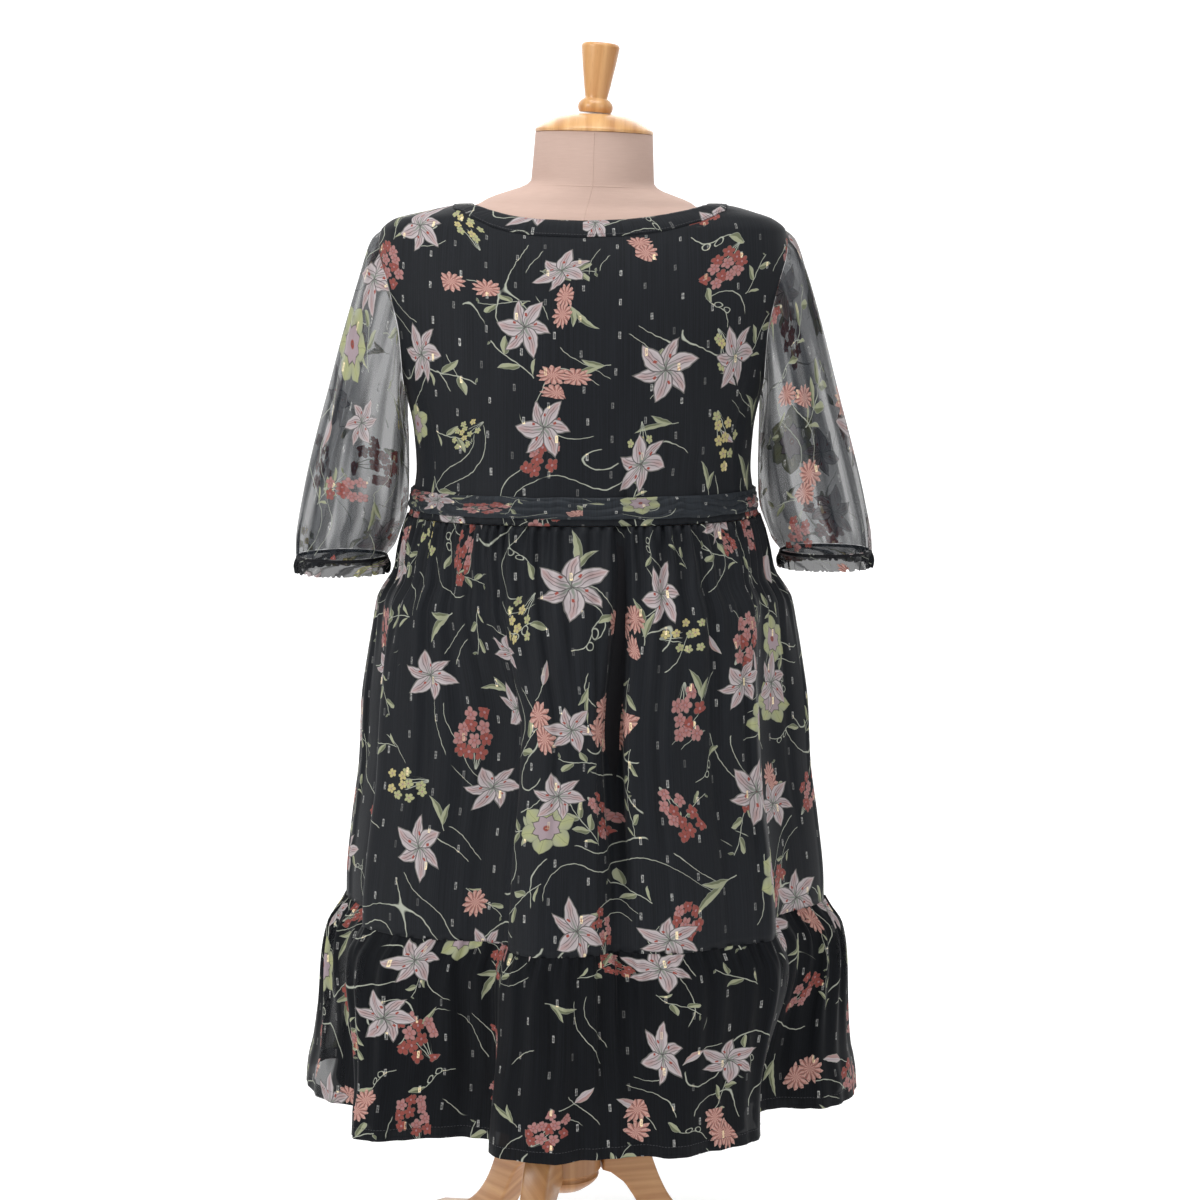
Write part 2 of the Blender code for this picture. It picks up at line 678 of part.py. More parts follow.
def sleeve_top(side, per_side):
    """The sleeve's first ring: where its outer face starts, and the direction into the sleeve."""
    edges = armhole_edge(side)
    ring = []
    for i, corner in enumerate(edges):
        after = edges[(i + 1) % len(edges)]
        for step in range(per_side):
            point, outward, away = between(corner, after, step / per_side)
            outward.normalize()
            away.normalize()
            ring.append((point, outward, away))
    count = len(ring)
    made = []
    for i, (point, outward, away) in enumerate(ring):
        # The sleeve bends away from the bodice least at the shoulder, half way round, and most underarm.
        underarm = 0.5 * (1 + math.cos(2 * math.pi * i / count))
        bend = math.radians(42 + 122 * underarm**1.2)
        start = point + away * (GAP + max(0.0, math.sin(bend)) * WALL) + outward * GAP * underarm
        into = -(outward * math.cos(bend) + away * math.sin(bend))
        made.append((start, into))
    return made


def cuff_ring(cuff, count, rise, out=0.0, wave=0.0):
    """A ring of the cuff, starting at the underarm and going round by the back."""
    ring = []
    for i in range(count):
        turn = 2 * math.pi * i / count
        ripple = wave * gathers(turn, CUFF_GATHERS, 0.7)
        x = cuff.centre - math.cos(turn) * (cuff.half_width + out + ripple)
        y = -math.sin(turn) * (CUFF_HALF_DEPTH + out + ripple)
        ring.append(Vector((cuff.side * x, y, cuff.low + rise)))
    return ring


def add_sleeve(cuff, per_side=2):
    side = cuff.side
    start = sleeve_top(side, per_side)
    count = len(start)
    finish = cuff_ring(cuff, count, CUFF_WIDTH + GAP, WALL)
    outer = []
    for share in SLEEVE_SHARES:
        row = []
        for i in range(count):
            turn = 2 * math.pi * i / count
            underarm = (0.5 * (1 + math.cos(turn))) ** 1.5
            away = Vector((-side * math.cos(turn), -math.sin(turn), 0.0))
            puff = outer_puff.at(share) * (1 - underarm) + underarm_puff.at(share) * underarm
            fold = 2.0 * math.sin(math.pi * share) * math.cos(6 * turn + 1.1) * (1 - underarm)
            row.append(start[i][0].lerp(finish[i], share) + away * (puff + fold) / 1000)
        outer.append(row)
    inner = [[point + into * WALL for point, (_, into) in zip(outer[0], start)]]
    for above, row, below in zip(outer, outer[1:], outer[2:]):
        made = []
        for i, point in enumerate(row):
            across = row[(i + 1) % count] - row[i - 1]
            made.append(point + across.cross(below[i] - above[i]).normalized() * side * WALL)
        inner.append(made)
    inner.append(cuff_ring(cuff, count, CUFF_WIDTH + GAP))
    return add_wall(f"sleeve_{cuff.label}", SHEER, inner, outer, garment, closed=True)


def add_cuff(cuff):
    """An elastic casing that gathers the sleeve's end."""
    count = CUFF_GATHERS * COLUMNS_PER_GATHER
    rings = ((CUFF_WIDTH, 0.0, 0.0004), (0.5 * CUFF_WIDTH, 0.0010, 0.0011), (0.0, 0.0002, 0.0009))
    inner = [cuff_ring(cuff, count, rise, out, wave) for rise, out, wave in rings]
    outer = [cuff_ring(cuff, count, rise, out + WALL, wave) for rise, out, wave in rings]
    return add_wall(f"cuff_{cuff.label}", SHEER, inner, outer, garment, closed=True)


# ---------------------------------------------------------------- dress form and stand
def pole_axis_x(height):
    return STAND_X + (height - HUB_TOP) * math.tan(LEAN)


def add_torso():
    """The covered torso. Its neck stands on the leaning pole's axis, and its body hangs straight."""
    rings = []
    for row in TORSO:
        lean = eased(1.165, 1.215, row.height)
        points = [on_section(row, turn) for turn in turns_round(TORSO_COLUMNS)]
        shift = Vector((pole_axis_x(row.height) * lean, 0, 0))
        tilt = math.tan(LEAN) * lean
        rings.append([point + shift - Vector((0, 0, point.x * tilt)) for point in points])
    return add_loft("form_torso", LINEN, rings, footprint)


def add_cap():
    profile = [(0.0, CAP_TOP)]
    profile += [(0.0190, 1.2860), (0.0310, 1.2845), (0.0435, 1.2805), (0.0540, 1.2750), (0.0610, 1.2700)]
    profile += [(0.0622, 1.2682), (0.0616, 1.2660), (0.0, 1.2660)]
    return add_turned("neck_cap", WOOD, [(r, z - HUB_TOP) for r, z in profile], 28, pole)


def add_finial():
    """A turned knob: a bead under a grip that widens upwards. Its height is counted from the cap's top."""
    profile = [(0.0, 0.0720), (0.0165, 0.0718), (0.0192, 0.0700), (0.0200, 0.0675)]
    profile += [(0.0172, 0.0480), (0.0140, 0.0280), (0.0117, 0.0148)]
    profile += [(0.0158, 0.0118), (0.0184, 0.0068), (0.0180, 0.0030), (0.0165, 0.0), (0.0, 0.0)]
    return add_turned("cap_finial", WOOD, profile, 20, knob)


def add_pole():
    length = TORSO_LOW - HUB_TOP - 2 * FORM_DROP
    shape = bmesh.new()
    bmesh.ops.create_cone(
        shape, cap_ends=True, segments=24, radius1=POLE_RADIUS, radius2=POLE_RADIUS, depth=length
    )
    bmesh.ops.translate(shape, vec=(0, 0, FORM_DROP + length / 2), verts=shape.verts)
    mesh_data = bpy.data.meshes.new("stand_pole")
    shape.to_mesh(mesh_data)
    shape.free()
    return add_object("stand_pole", mesh_data, WOOD, pole)


def add_hub():
    """The turned block that the pole and the legs are set into."""
    profile = [(0.0, HUB_TOP), (0.034, HUB_TOP), (0.039, 0.2000), (HUB_RADIUS, 0.1930)]
    profile += [(HUB_RADIUS, 0.1340), (0.0385, 0.1305), (0.0400, 0.1265), (0.0370, 0.1210)]
    profile += [(0.0290, 0.1145), (0.0180, HUB_LOW), (0.0, HUB_LOW)]
    hub = add_turned("stand_hub", WOOD, profile, 24, stand)
    hub.location.x = STAND_X
    return hub


# A leg's outline in its own plane: distance from the hub's axis and height, round the board.
LEG_OUTLINE = (
    (0.0428, 0.1870),
    (0.0640, 0.1850),
    (0.0830, 0.1720),
    (0.0960, 0.1500),
    (0.1060, 0.1220),
    (0.1200, 0.0930),
    (0.1430, 0.0640),
    (0.1760, 0.0420),
    (0.2150, 0.0300),
    (0.2420, 0.0220),
    (0.2520, 0.0120),
    (0.2500, 0.0000),
    (0.2050, 0.0000),
    (0.1620, 0.0110),
    (0.1240, 0.0330),
    (0.0980, 0.0620),
    (0.0820, 0.0900),
    (0.0660, 0.1150),
    (0.0520, 0.1265),
    (0.0428, 0.1300),
)


def add_leg(name, turn_degrees):
    """A curved foot sawn from a board, with its edges rounded."""
    shape = bmesh.new()
    sides = [
        [shape.verts.new((radius, offset, height)) for radius, height in LEG_OUTLINE]
        for offset in (-LEG_WIDTH / 2, LEG_WIDTH / 2)
    ]
    shape.faces.new(sides[0])
    shape.faces.new(sides[1][::-1])
    count = len(LEG_OUTLINE)
    for i in range(count):
        k = (i + 1) % count
        shape.faces.new((sides[0][k], sides[0][i], sides[1][i], sides[1][k]))
    bmesh.ops.recalc_face_normals(shape, faces=shape.faces)
    mesh_data = bpy.data.meshes.new(name)
    shape.to_mesh(mesh_data)
    shape.free()
    leg = add_object(name, mesh_data, WOOD, stand)
    rounding = leg.modifiers.new("rounded_edges", "BEVEL")
    rounding.width = 0.004
    rounding.segments = 1
    rounding.limit_method = "ANGLE"
    rounding.angle_limit = math.radians(60)
    leg.location.x = STAND_X
    leg.rotation_euler.z = math.radians(turn_degrees - 90)
    return leg


# ---------------------------------------------------------------- building it
def clear_scene():
    for old in list(bpy.data.objects):
        bpy.data.objects.remove(old, do_unlink=True)


def add_empty(name, location, parent=None):
    empty = bpy.data.objects.new(name, None)
    dress_collection.objects.link(empty)
    empty.location = location
    empty.parent = parent
    return empty


def centre_footprint():
    """Moves the whole part so that its footprint box is centred on the origin."""
    bpy.context.view_layer.update()
    graph = bpy.context.evaluated_depsgraph_get()
    corners = []
    for piece in dress_collection.objects:
        if piece.type == "MESH":
            solid = piece.evaluated_get(graph)
            corners += [solid.matrix_world @ vertex.co for vertex in solid.data.vertices]
    for axis in (0, 1):
        values = [corner[axis] for corner in corners]
        footprint.location[axis] -= 0.5 * (min(values) + max(values))


clear_scene()
dress_collection = bpy.data.collections.new("shift_dress_on_form")
bpy.context.scene.collection.children.link(dress_collection)
materials = {spec[0]: make_material(*spec) for spec in (LINEN, WOOD, PRINTED, SHEER, LINING_CLOTH)}

footprint = add_empty("footprint", (0, 0, 0))
garment = add_empty("garment", (0, 0, 0), footprint)
stand = add_empty("stand", (0, 0, 0), footprint)
# The pole leans a little in the hub, and the neck cap and its knob are square to it.
pole = add_empty("pole_axis", (STAND_X, 0, HUB_TOP), stand)
pole.rotation_euler.y = LEAN
knob = add_empty("knob_axis", (0, 0, CAP_TOP + 0.0015 - HUB_TOP), pole)
knob.rotation_euler.y = KNOB_LEAN

add_torso()
add_cap()
add_finial()
add_pole()
add_hub()
for number, leg_turn in enumerate(LEG_TURNS, start=1):
    add_leg(f"stand_leg_{number}", leg_turn)

add_bodice("bodice_back", 0.0)
add_bodice("bodice_front", math.pi)
add_neck_band()
add_belt()

for label, panel_centre in (("back", 0.0), ("front", math.pi)):
    add_tier(f"skirt_{label}", skirt_point, SKIRT_ROWS, panel_centre, PRINTED, 0.16)
    add_tier(f"ruffle_{label}", ruffle_point, RUFFLE_ROWS, panel_centre, SHEER, 0.20)
add_lining()

for cuff_row in CUFFS:
    add_sleeve(cuff_row)
    add_cuff(cuff_row)

centre_footprint()
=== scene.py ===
# %% [markdown]
# # A tiered dress on a dress form
#
# This lesson dresses a imported CAD model. The frame holds every piece as a plain solid, at its real size.
# Here each cloth piece is made again as a thin shell with its gathers, creases, weave and print, and the
# wooden pieces and the covered torso get their finish. The frame is read first. The finished dress has to
# stay inside it.

# %% Opening the frame
import bisect
import math
from collections import namedtuple
from functools import lru_cache

import bmesh
import bpy
from mathutils import Matrix, Vector, noise


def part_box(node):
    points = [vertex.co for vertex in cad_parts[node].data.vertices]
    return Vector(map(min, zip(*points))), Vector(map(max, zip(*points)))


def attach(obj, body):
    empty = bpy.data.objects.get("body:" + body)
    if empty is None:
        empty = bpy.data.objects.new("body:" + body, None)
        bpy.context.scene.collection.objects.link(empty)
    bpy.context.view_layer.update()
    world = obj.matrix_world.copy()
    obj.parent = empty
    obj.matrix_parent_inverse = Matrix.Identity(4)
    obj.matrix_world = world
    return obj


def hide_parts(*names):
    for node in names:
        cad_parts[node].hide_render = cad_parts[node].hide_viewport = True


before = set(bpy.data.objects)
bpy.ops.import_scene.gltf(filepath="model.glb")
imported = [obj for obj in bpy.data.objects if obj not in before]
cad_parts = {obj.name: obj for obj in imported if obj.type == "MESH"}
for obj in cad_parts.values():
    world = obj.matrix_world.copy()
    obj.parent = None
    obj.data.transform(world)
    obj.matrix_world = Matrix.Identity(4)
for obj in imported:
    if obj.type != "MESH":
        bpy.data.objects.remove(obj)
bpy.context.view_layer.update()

# %% [markdown]
# ## Where things are
#
# The stand's hub is off the dress's own middle line, because the form stands a little askew in the dress.
# The hub's box in the frame therefore says where that middle line is. The camera looks at the back of the
# dress, from a little above the waist, with a long lens.

# %% The middle line and the camera
STAND_X = -0.0237
hub_low, hub_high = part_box("stand_hub")
AXIS = Vector(((hub_low[0] + hub_high[0]) / 2 - STAND_X, (hub_low[1] + hub_high[1]) / 2, 0.0))

LENS, SENSOR_WIDTH = 76.02, 36.0
CAMERA_PLACE, CAMERA_TILT = Vector((0.0175, -2.71, 1.143)), 7.84
camera_data = bpy.data.cameras.new("camera")
camera_data.lens, camera_data.sensor_width = LENS, SENSOR_WIDTH
camera = bpy.data.objects.new("camera", camera_data)
camera.location = AXIS + CAMERA_PLACE
camera.rotation_euler = (math.radians(90 - CAMERA_TILT), 0.0, 0.0)
bpy.context.scene.collection.objects.link(camera)
bpy.context.scene.camera = camera
print("the dress's middle line:", tuple(round(a, 4) for a in AXIS))

# %% [markdown]
# ## A white studio
#
# The dress is lit as for a catalogue: a pale floor and backdrop without an edge, and large soft lights from
# the front, the sides and above. The backdrop is one strip with a rounded corner. An edge of a few points
# is extruded along the strip's outline.

# %% Floor, backdrop and lights
PAPER_WHITE, PAPER_GLOW, AIR_GLOW = 0.90, 0.34, 0.20
PAPER_HALF_WIDTH, PAPER_NEAR, FLOOR_END, BEND_RADIUS, PAPER_TOP = 6.0, -5.0, 2.4, 1.6, 6.0


def plain_stage_material():
    material = bpy.data.materials.new("studio_paper")
    material.use_nodes = True
    shader = material.node_tree.nodes["Principled BSDF"]
    shader.inputs["Base Color"].default_value = (PAPER_WHITE, PAPER_WHITE, PAPER_WHITE, 1.0)
    shader.inputs["Emission Color"].default_value = (1.0, 1.0, 1.0, 1.0)
    shader.inputs["Emission Strength"].default_value = PAPER_GLOW
    shader.inputs["Roughness"].default_value = 0.9
    shader.inputs["Specular IOR Level"].default_value = 0.1
    return material


def make_backdrop():
    shape = bmesh.new()
    ends = [bmesh.ops.create_vert(shape, co=(x, PAPER_NEAR, 0.0))["vert"][0]
            for x in (-PAPER_HALF_WIDTH, PAPER_HALF_WIDTH)]
    strip = [shape.edges.new(ends)]
    outline = [(FLOOR_END, 0.0)]
    for degrees in range(10, 91, 10):
        bend = math.radians(degrees)
        outline.append((FLOOR_END + BEND_RADIUS * math.sin(bend), BEND_RADIUS * (1 - math.cos(bend))))
    outline.append((FLOOR_END + BEND_RADIUS, PAPER_TOP))
    here = Vector((0.0, PAPER_NEAR, 0.0))
    for y, z in outline:
        grown = bmesh.ops.extrude_edge_only(shape, edges=strip)["geom"]
        there = Vector((0.0, y, z))
        corners = [part for part in grown if isinstance(part, bmesh.types.BMVert)]
        bmesh.ops.translate(shape, vec=there - here, verts=corners)
        strip = [part for part in grown if isinstance(part, bmesh.types.BMEdge)]
        here = there
    bmesh.ops.recalc_face_normals(shape, faces=shape.faces)
    mesh = bpy.data.meshes.new("backdrop")
    shape.to_mesh(mesh)
    shape.free()
    mesh.shade_smooth()
    mesh.materials.append(plain_stage_material())
    backdrop = bpy.data.objects.new("backdrop", mesh)
    bpy.context.scene.collection.objects.link(backdrop)


def add_light(name, place, aim, width, height, watts):
    data = bpy.data.lights.new(name, "AREA")
    data.shape = "RECTANGLE"
    data.size, data.size_y, data.energy = width, height, watts
    lamp = bpy.data.objects.new(name, data)
    lamp.location = place
    lamp.rotation_euler = (Vector(aim) - Vector(place)).to_track_quat("-Z", "Y").to_euler()
    bpy.context.scene.collection.objects.link(lamp)


make_backdrop()
LIGHTS = (  # name, place, aim, width, height and watts
    ("key_left", (-3.0, -2.4, 2.3), (0.0, 0.0, 0.95), 1.4, 2.0, 74),
    ("key_right", (2.6, -3.0, 2.2), (0.0, 0.0, 0.95), 1.6, 2.2, 32),
    ("top", (0.0, -0.5, 3.4), (0.0, 0.0, 0.9), 2.0, 1.6, 50),
    ("backdrop_left", (-3.2, 1.6, 3.0), (-1.5, 4.0, 1.2), 1.6, 2.6, 40),
    ("backdrop_right", (3.2, 1.6, 3.0), (1.5, 4.0, 1.2), 1.6, 2.6, 40),
    ("round_the_back", (0.0, 3.4, 2.6), (0.0, 0.0, 0.8), 2.4, 1.6, 20),
)
for row in LIGHTS:
    add_light(*row)

world = bpy.data.worlds.new("studio_air")
bpy.context.scene.world = world
world.use_nodes = True
world.node_tree.nodes["Background"].inputs["Color"].default_value = (1.0, 1.0, 1.0, 1.0)
world.node_tree.nodes["Background"].inputs["Strength"].default_value = AIR_GLOW
bpy.context.scene.view_settings.view_transform = "Standard"
print(len(LIGHTS), "soft lights")

# %% [markdown]
# ## The dress's sizes
#
# The shells follow the same sections and folds as the solids, so that nothing has to be fitted afterwards.
# The heights are above the floor. Each section gives a ring's half width, its depths and how square it is.

# %% Heights, sections and the neckline
HEM = 0.222
TIER_SEAM = 0.437
WAIST = 0.865
UNDERARM = 0.992
SHOULDER = 1.164
LINING_HEM = HEM + 0.005
SKIRT_LOW, SKIRT_TOP, RUFFLE_TOP, LINING_TOP = 0.4374, 0.8646, 0.4382, 0.858
TIER_GATHERS = 56

WALL = 0.0016
GAP = 0.0004
BAND_WIDTH = 0.018
NECK_SHIFT = 0.0075
BELT_LOW, BELT_HIGH, BELT_CLEAR = 0.872, 0.893, 0.0010
CUFF_WIDTH, CUFF_HALF_DEPTH = 0.019, 0.0500
LEAN, KNOB_LEAN = math.radians(1.9), math.radians(3.2)
HUB_TOP = 0.205
LEG_TURNS, LEG_WIDTH = (-18, 102, -140), 0.030
CAP_TOP = 1.2862

Section = namedtuple("Section", "height half_width back_depth front_depth squareness")
Neck = namedtuple("Neck", "turn back front")
Fold = namedtuple("Fold", "turn seam_x seam_y hem_x hem_y")
Puff = namedtuple("Puff", "share outer underarm")
Cuff = namedtuple("Cuff", "label side low centre half_width")

# The bodice's inner face. Between the underarm and the shoulder the widths run across the armhole.
BODICE = (
    Section(0.865, 0.1850, 0.1400, 0.1450, 2.30),
    Section(0.890, 0.1800, 0.1355, 0.1420, 2.30),
    Section(0.915, 0.1770, 0.1325, 0.1425, 2.30),
    Section(0.955, 0.1795, 0.1310, 0.1490, 2.30),
    Section(0.992, 0.1870, 0.1300, 0.1530, 2.30),
    Section(1.020, 0.1950, 0.1275, 0.1500, 2.25),
    Section(1.057, 0.2080, 0.1210, 0.1390, 2.20),
    Section(1.094, 0.2170, 0.1120, 0.1220, 2.20),
    Section(1.130, 0.2180, 0.1000, 0.1010, 2.15),
    Section(1.164, 0.2125, 0.0850, 0.0825, 2.10),
    Section(1.1750, 0.2000, 0.0795, 0.0770, 2.05),
    Section(1.1830, 0.1730, 0.0745, 0.0720, 2.00),
    Section(1.1880, 0.1525, 0.0715, 0.0695, 2.00),
    Section(1.1896, 0.1430, 0.0705, 0.0685, 2.00),
    Section(1.1906, 0.1225, 0.0695, 0.0675, 2.00),
    Section(1.1925, 0.0900, 0.0680, 0.0660, 2.00),
)

# The neckline's height at the back and at the front, by degrees from the centre towards the shoulder.
NECKLINE = (
    Neck(0, 1.1735, 1.1280),
    Neck(12, 1.1750, 1.1308),
    Neck(20, 1.1775, 1.1365),
    Neck(27, 1.1803, 1.1475),
    Neck(33, 1.1828, 1.1675),
    Neck(38, 1.1847, 1.1770),
    Neck(44, 1.1868, 1.1842),
    Neck(54, 1.1892, 1.1888),
    Neck(65, 1.1900, 1.1900),
    Neck(90, 1.1906, 1.1906),
)

# The skirt's inner face, from the waist down to the seam of the lower tier.
SKIRT = (
    Section(0.437, 0.2550, 0.2100, 0.2120, 2.60),
    Section(0.460, 0.2545, 0.2080, 0.2100, 2.60),
    Section(0.527, 0.2475, 0.2010, 0.2030, 2.60),
    Section(0.594, 0.2385, 0.1930, 0.1950, 2.55),
    Section(0.660, 0.2350, 0.1840, 0.1860, 2.50),
    Section(0.710, 0.2290, 0.1760, 0.1790, 2.50),
    Section(0.743, 0.2240, 0.1710, 0.1740, 2.45),
    Section(0.775, 0.2180, 0.1650, 0.1690, 2.40),
    Section(0.790, 0.2090, 0.1605, 0.1650, 2.40),
    Section(0.803, 0.2010, 0.1570, 0.1620, 2.40),
    Section(0.825, 0.1965, 0.1505, 0.1560, 2.35),
    Section(0.845, 0.1910, 0.1445, 0.1495, 2.30),
    Section(0.865, 0.1850, 0.1400, 0.1450, 2.30),
)

# The lower tier's inner face, from its seam down to the hem.
RUFFLE = (
    Section(0.222, 0.3010, 0.2140, 0.2150, 2.25),
    Section(0.245, 0.2990, 0.2140, 0.2150, 2.25),
    Section(0.273, 0.2925, 0.2140, 0.2150, 2.30),
    Section(0.324, 0.2860, 0.2130, 0.2150, 2.35),
    Section(0.375, 0.2810, 0.2120, 0.2140, 2.45),
    Section(0.409, 0.2725, 0.2110, 0.2130, 2.55),
    Section(0.428, 0.2600, 0.2100, 0.2120, 2.60),
    Section(0.437, 0.2550, 0.2100, 0.2120, 2.60),
)

# The lining's inner face, from the waist down to its own hem.
LINING = (
    Section(0.227, 0.2795, 0.1960, 0.1980, 2.30),
    Section(0.437, 0.2450, 0.1950, 0.1970, 2.50),
    Section(0.640, 0.2190, 0.1720, 0.1760, 2.50),
    Section(0.743, 0.2080, 0.1580, 0.1620, 2.45),
    Section(0.803, 0.1930, 0.1460, 0.1500, 2.40),
    Section(0.858, 0.1790, 0.1340, 0.1390, 2.30),
)

# The form's own skin: narrower than the cloth, and cut straight at the arms.
TORSO = (
    Section(0.640, 0.1680, 0.1160, 0.1200, 2.30),
    Section(0.652, 0.1740, 0.1210, 0.1250, 2.30),
    Section(0.720, 0.1780, 0.1250, 0.1280, 2.30),
    Section(0.790, 0.1770, 0.1255, 0.1290, 2.30),
    Section(0.850, 0.1690, 0.1230, 0.1270, 2.30),
    Section(0.900, 0.1620, 0.1190, 0.1270, 2.30),
    Section(0.955, 0.1680, 0.1220, 0.1390, 2.30),
    Section(1.000, 0.1790, 0.1240, 0.1460, 2.30),
    Section(1.057, 0.1930, 0.1170, 0.1320, 2.20),
    Section(1.110, 0.2030, 0.1030, 0.1090, 2.20),
    Section(1.143, 0.2040, 0.0900, 0.0900, 2.15),
    Section(1.158, 0.1990, 0.0830, 0.0810, 2.10),
    Section(1.1690, 0.1880, 0.0775, 0.0750, 2.05),
    Section(1.1780, 0.1600, 0.0720, 0.0695, 2.00),
    Section(1.1842, 0.1380, 0.0680, 0.0660, 2.00),
    Section(1.1890, 0.1185, 0.0650, 0.0635, 2.00),
    Section(1.1965, 0.1060, 0.0630, 0.0620, 2.00),
    Section(1.2020, 0.0915, 0.0615, 0.0610, 2.00),
    Section(1.2062, 0.0785, 0.0605, 0.0603, 2.00),
    Section(1.2105, 0.0690, 0.0602, 0.0602, 2.00),
    Section(1.2150, 0.0650, 0.0600, 0.0600, 2.00),
    Section(1.2280, 0.0640, 0.0600, 0.0600, 2.00),
    Section(1.2650, 0.0618, 0.0595, 0.0595, 2.00),
)

# %% [markdown]
# ## The folds
#
# Cloth that is gathered at the waist falls into a few deep folds. Seen from above, each tier's edge is a
# wavy ring, so a fold is written down as where the cloth of one turn crosses the seam and the hem.

# %% Folds, sleeves and cuffs
# The largest folds. A row says where the cloth that leaves the waist at this turn, in degrees from the centre
# back, crosses the tier's seam and the hem, in millimetres.
FOLDS = (
    Fold(-175, -20, 207, -26, 219),
    Fold(-168, -50, 205, -64, 214),
    Fold(-161, -80, 196, -96, 196),
    Fold(-154, -112, 186, -132, 184),
    Fold(-146, -148, 180, -180, 192),
    Fold(-138, -180, 166, -216, 172),
    Fold(-131, -205, 146, -236, 134),
    Fold(-124, -226, 120, -262, 112),
    Fold(-116, -246, 90, -296, 104),
    Fold(-108, -259, 64, -311, 78),
    Fold(-102, -262, 46, -312, 48),
    Fold(-96, -262, 29, -306, 14),
    Fold(-90, -259, 13, -295, -16),
    Fold(-85, -252, -2, -280, -38),
    Fold(-80, -242, -22, -258, -50),
    Fold(-75, -228, -45, -236, -62),
    Fold(-70, -222, -70, -226, -90),
    Fold(-66, -228, -92, -233, -122),
    Fold(-62, -231, -112, -243, -145),
    Fold(-57, -215, -128, -236, -158),
    Fold(-51, -190, -147, -217, -165),
    Fold(-45, -160, -159, -190, -161),
    Fold(-39, -130, -165, -150, -154),
    Fold(-33, -104, -168, -117, -152),
    Fold(-29, -84, -176, -97, -160),
    Fold(-26, -77, -186, -90, -178),
    Fold(-23, -75, -202, -96, -198),
    Fold(-19, -62, -221, -84, -215),
    Fold(-14, -45, -229, -57, -226),
    Fold(-8, -22, -229, -30, -234),
    Fold(-2, -2, -226, -2, -221),
    Fold(4, 18, -218, 27, -217),
    Fold(9, 36, -204, 50, -210),
    Fold(13, 54, -211, 66, -207),
    Fold(18, 75, -214, 84, -215),
    Fold(23, 97, -213, 106, -211),
    Fold(28, 118, -205, 128, -197),
    Fold(33, 138, -195, 147, -187),
    Fold(38, 158, -182, 164, -177),
    Fold(43, 177, -173, 177, -166),
    Fold(48, 193, -165, 185, -148),
    Fold(52, 199, -143, 183, -122),
    Fold(56, 197, -112, 183, -92),
    Fold(61, 202, -79, 192, -70),
    Fold(67, 216, -54, 212, -61),
    Fold(73, 233, -38, 240, -63),
    Fold(79, 247, -24, 264, -60),
    Fold(84, 257, -9, 279, -46),
    Fold(90, 262, 5, 294, -20),
    Fold(96, 263, 20, 301, 12),
    Fold(103, 261, 42, 301, 45),
    Fold(110, 249, 70, 292, 76),
    Fold(118, 232, 97, 258, 93),
    Fold(126, 214, 124, 240, 118),
    Fold(133, 194, 148, 226, 158),
    Fold(140, 168, 166, 196, 182),
    Fold(148, 134, 180, 156, 184),
    Fold(156, 102, 186, 120, 180),
    Fold(163, 74, 196, 88, 198),
    Fold(170, 44, 205, 56, 214),
    Fold(177, 12, 207, 18, 215),
)

# The same for the lining, which follows the outer cloth's folds loosely.
LINING_FOLDS = (
    Fold(-166, -58, 188, -68, 196),
    Fold(-152, -118, 170, -130, 166),
    Fold(-138, -168, 150, -196, 152),
    Fold(-122, -212, 106, -238, 98),
    Fold(-108, -239, 60, -276, 62),
    Fold(-96, -243, 27, -272, 8),
    Fold(-86, -235, -2, -250, -34),
    Fold(-78, -218, -38, -224, -56),
    Fold(-70, -209, -72, -212, -92),
    Fold(-63, -214, -98, -226, -130),
    Fold(-56, -194, -122, -217, -144),
    Fold(-46, -153, -142, -178, -144),
    Fold(-36, -110, -150, -118, -136),
    Fold(-28, -72, -166, -78, -158),
    Fold(-21, -58, -192, -74, -192),
    Fold(-12, -38, -206, -48, -210),
    Fold(0, 0, -202, 4, -200),
    Fold(9, 36, -188, 50, -194),
    Fold(18, 75, -196, 84, -198),
    Fold(28, 114, -186, 122, -180),
    Fold(38, 150, -164, 152, -160),
    Fold(46, 178, -148, 168, -142),
    Fold(54, 182, -112, 168, -104),
    Fold(62, 190, -68, 180, -60),
    Fold(72, 220, -32, 220, -46),
    Fold(82, 239, -6, 260, -42),
    Fold(92, 243, 12, 280, -12),
    Fold(104, 241, 42, 288, 36),
    Fold(116, 222, 86, 246, 80),
    Fold(130, 188, 132, 216, 126),
    Fold(146, 132, 164, 150, 166),
    Fold(160, 80, 180, 90, 180),
    Fold(172, 34, 190, 42, 198),
)

# How far the sleeve puffs out of the straight line from its armhole to its cuff, in millimetres.
SLEEVE_PUFF = (
    Puff(0.00, 0.0, 0.0),
    Puff(0.02, 6.0, -1.5),
    Puff(0.06, 8.8, -2.0),
    Puff(0.15, 10.3, 1.0),
    Puff(0.30, 11.0, 7.5),
    Puff(0.50, 9.5, 13.0),
    Puff(0.70, 8.5, 16.0),
    Puff(0.86, 6.5, 10.6),
    Puff(0.93, 4.5, 7.4),
    Puff(1.00, 0.0, 0.0),
)

# The two cuffs, which hang at slightly different heights.
CUFFS = (
    Cuff("left", -1, 0.8005, 0.2602, 0.0466),
    Cuff("right", 1, 0.8065, 0.2602, 0.0470),
)
print(len(FOLDS), "points round the skirt,", len(LINING_FOLDS), "round the lining")

# %% [markdown]
# ## Reading the tables
#
# A curve through a table's points must not swing past them, or a seam would bulge where it should be
# straight. Its slopes are therefore the harmonic means of the slopes on either side.

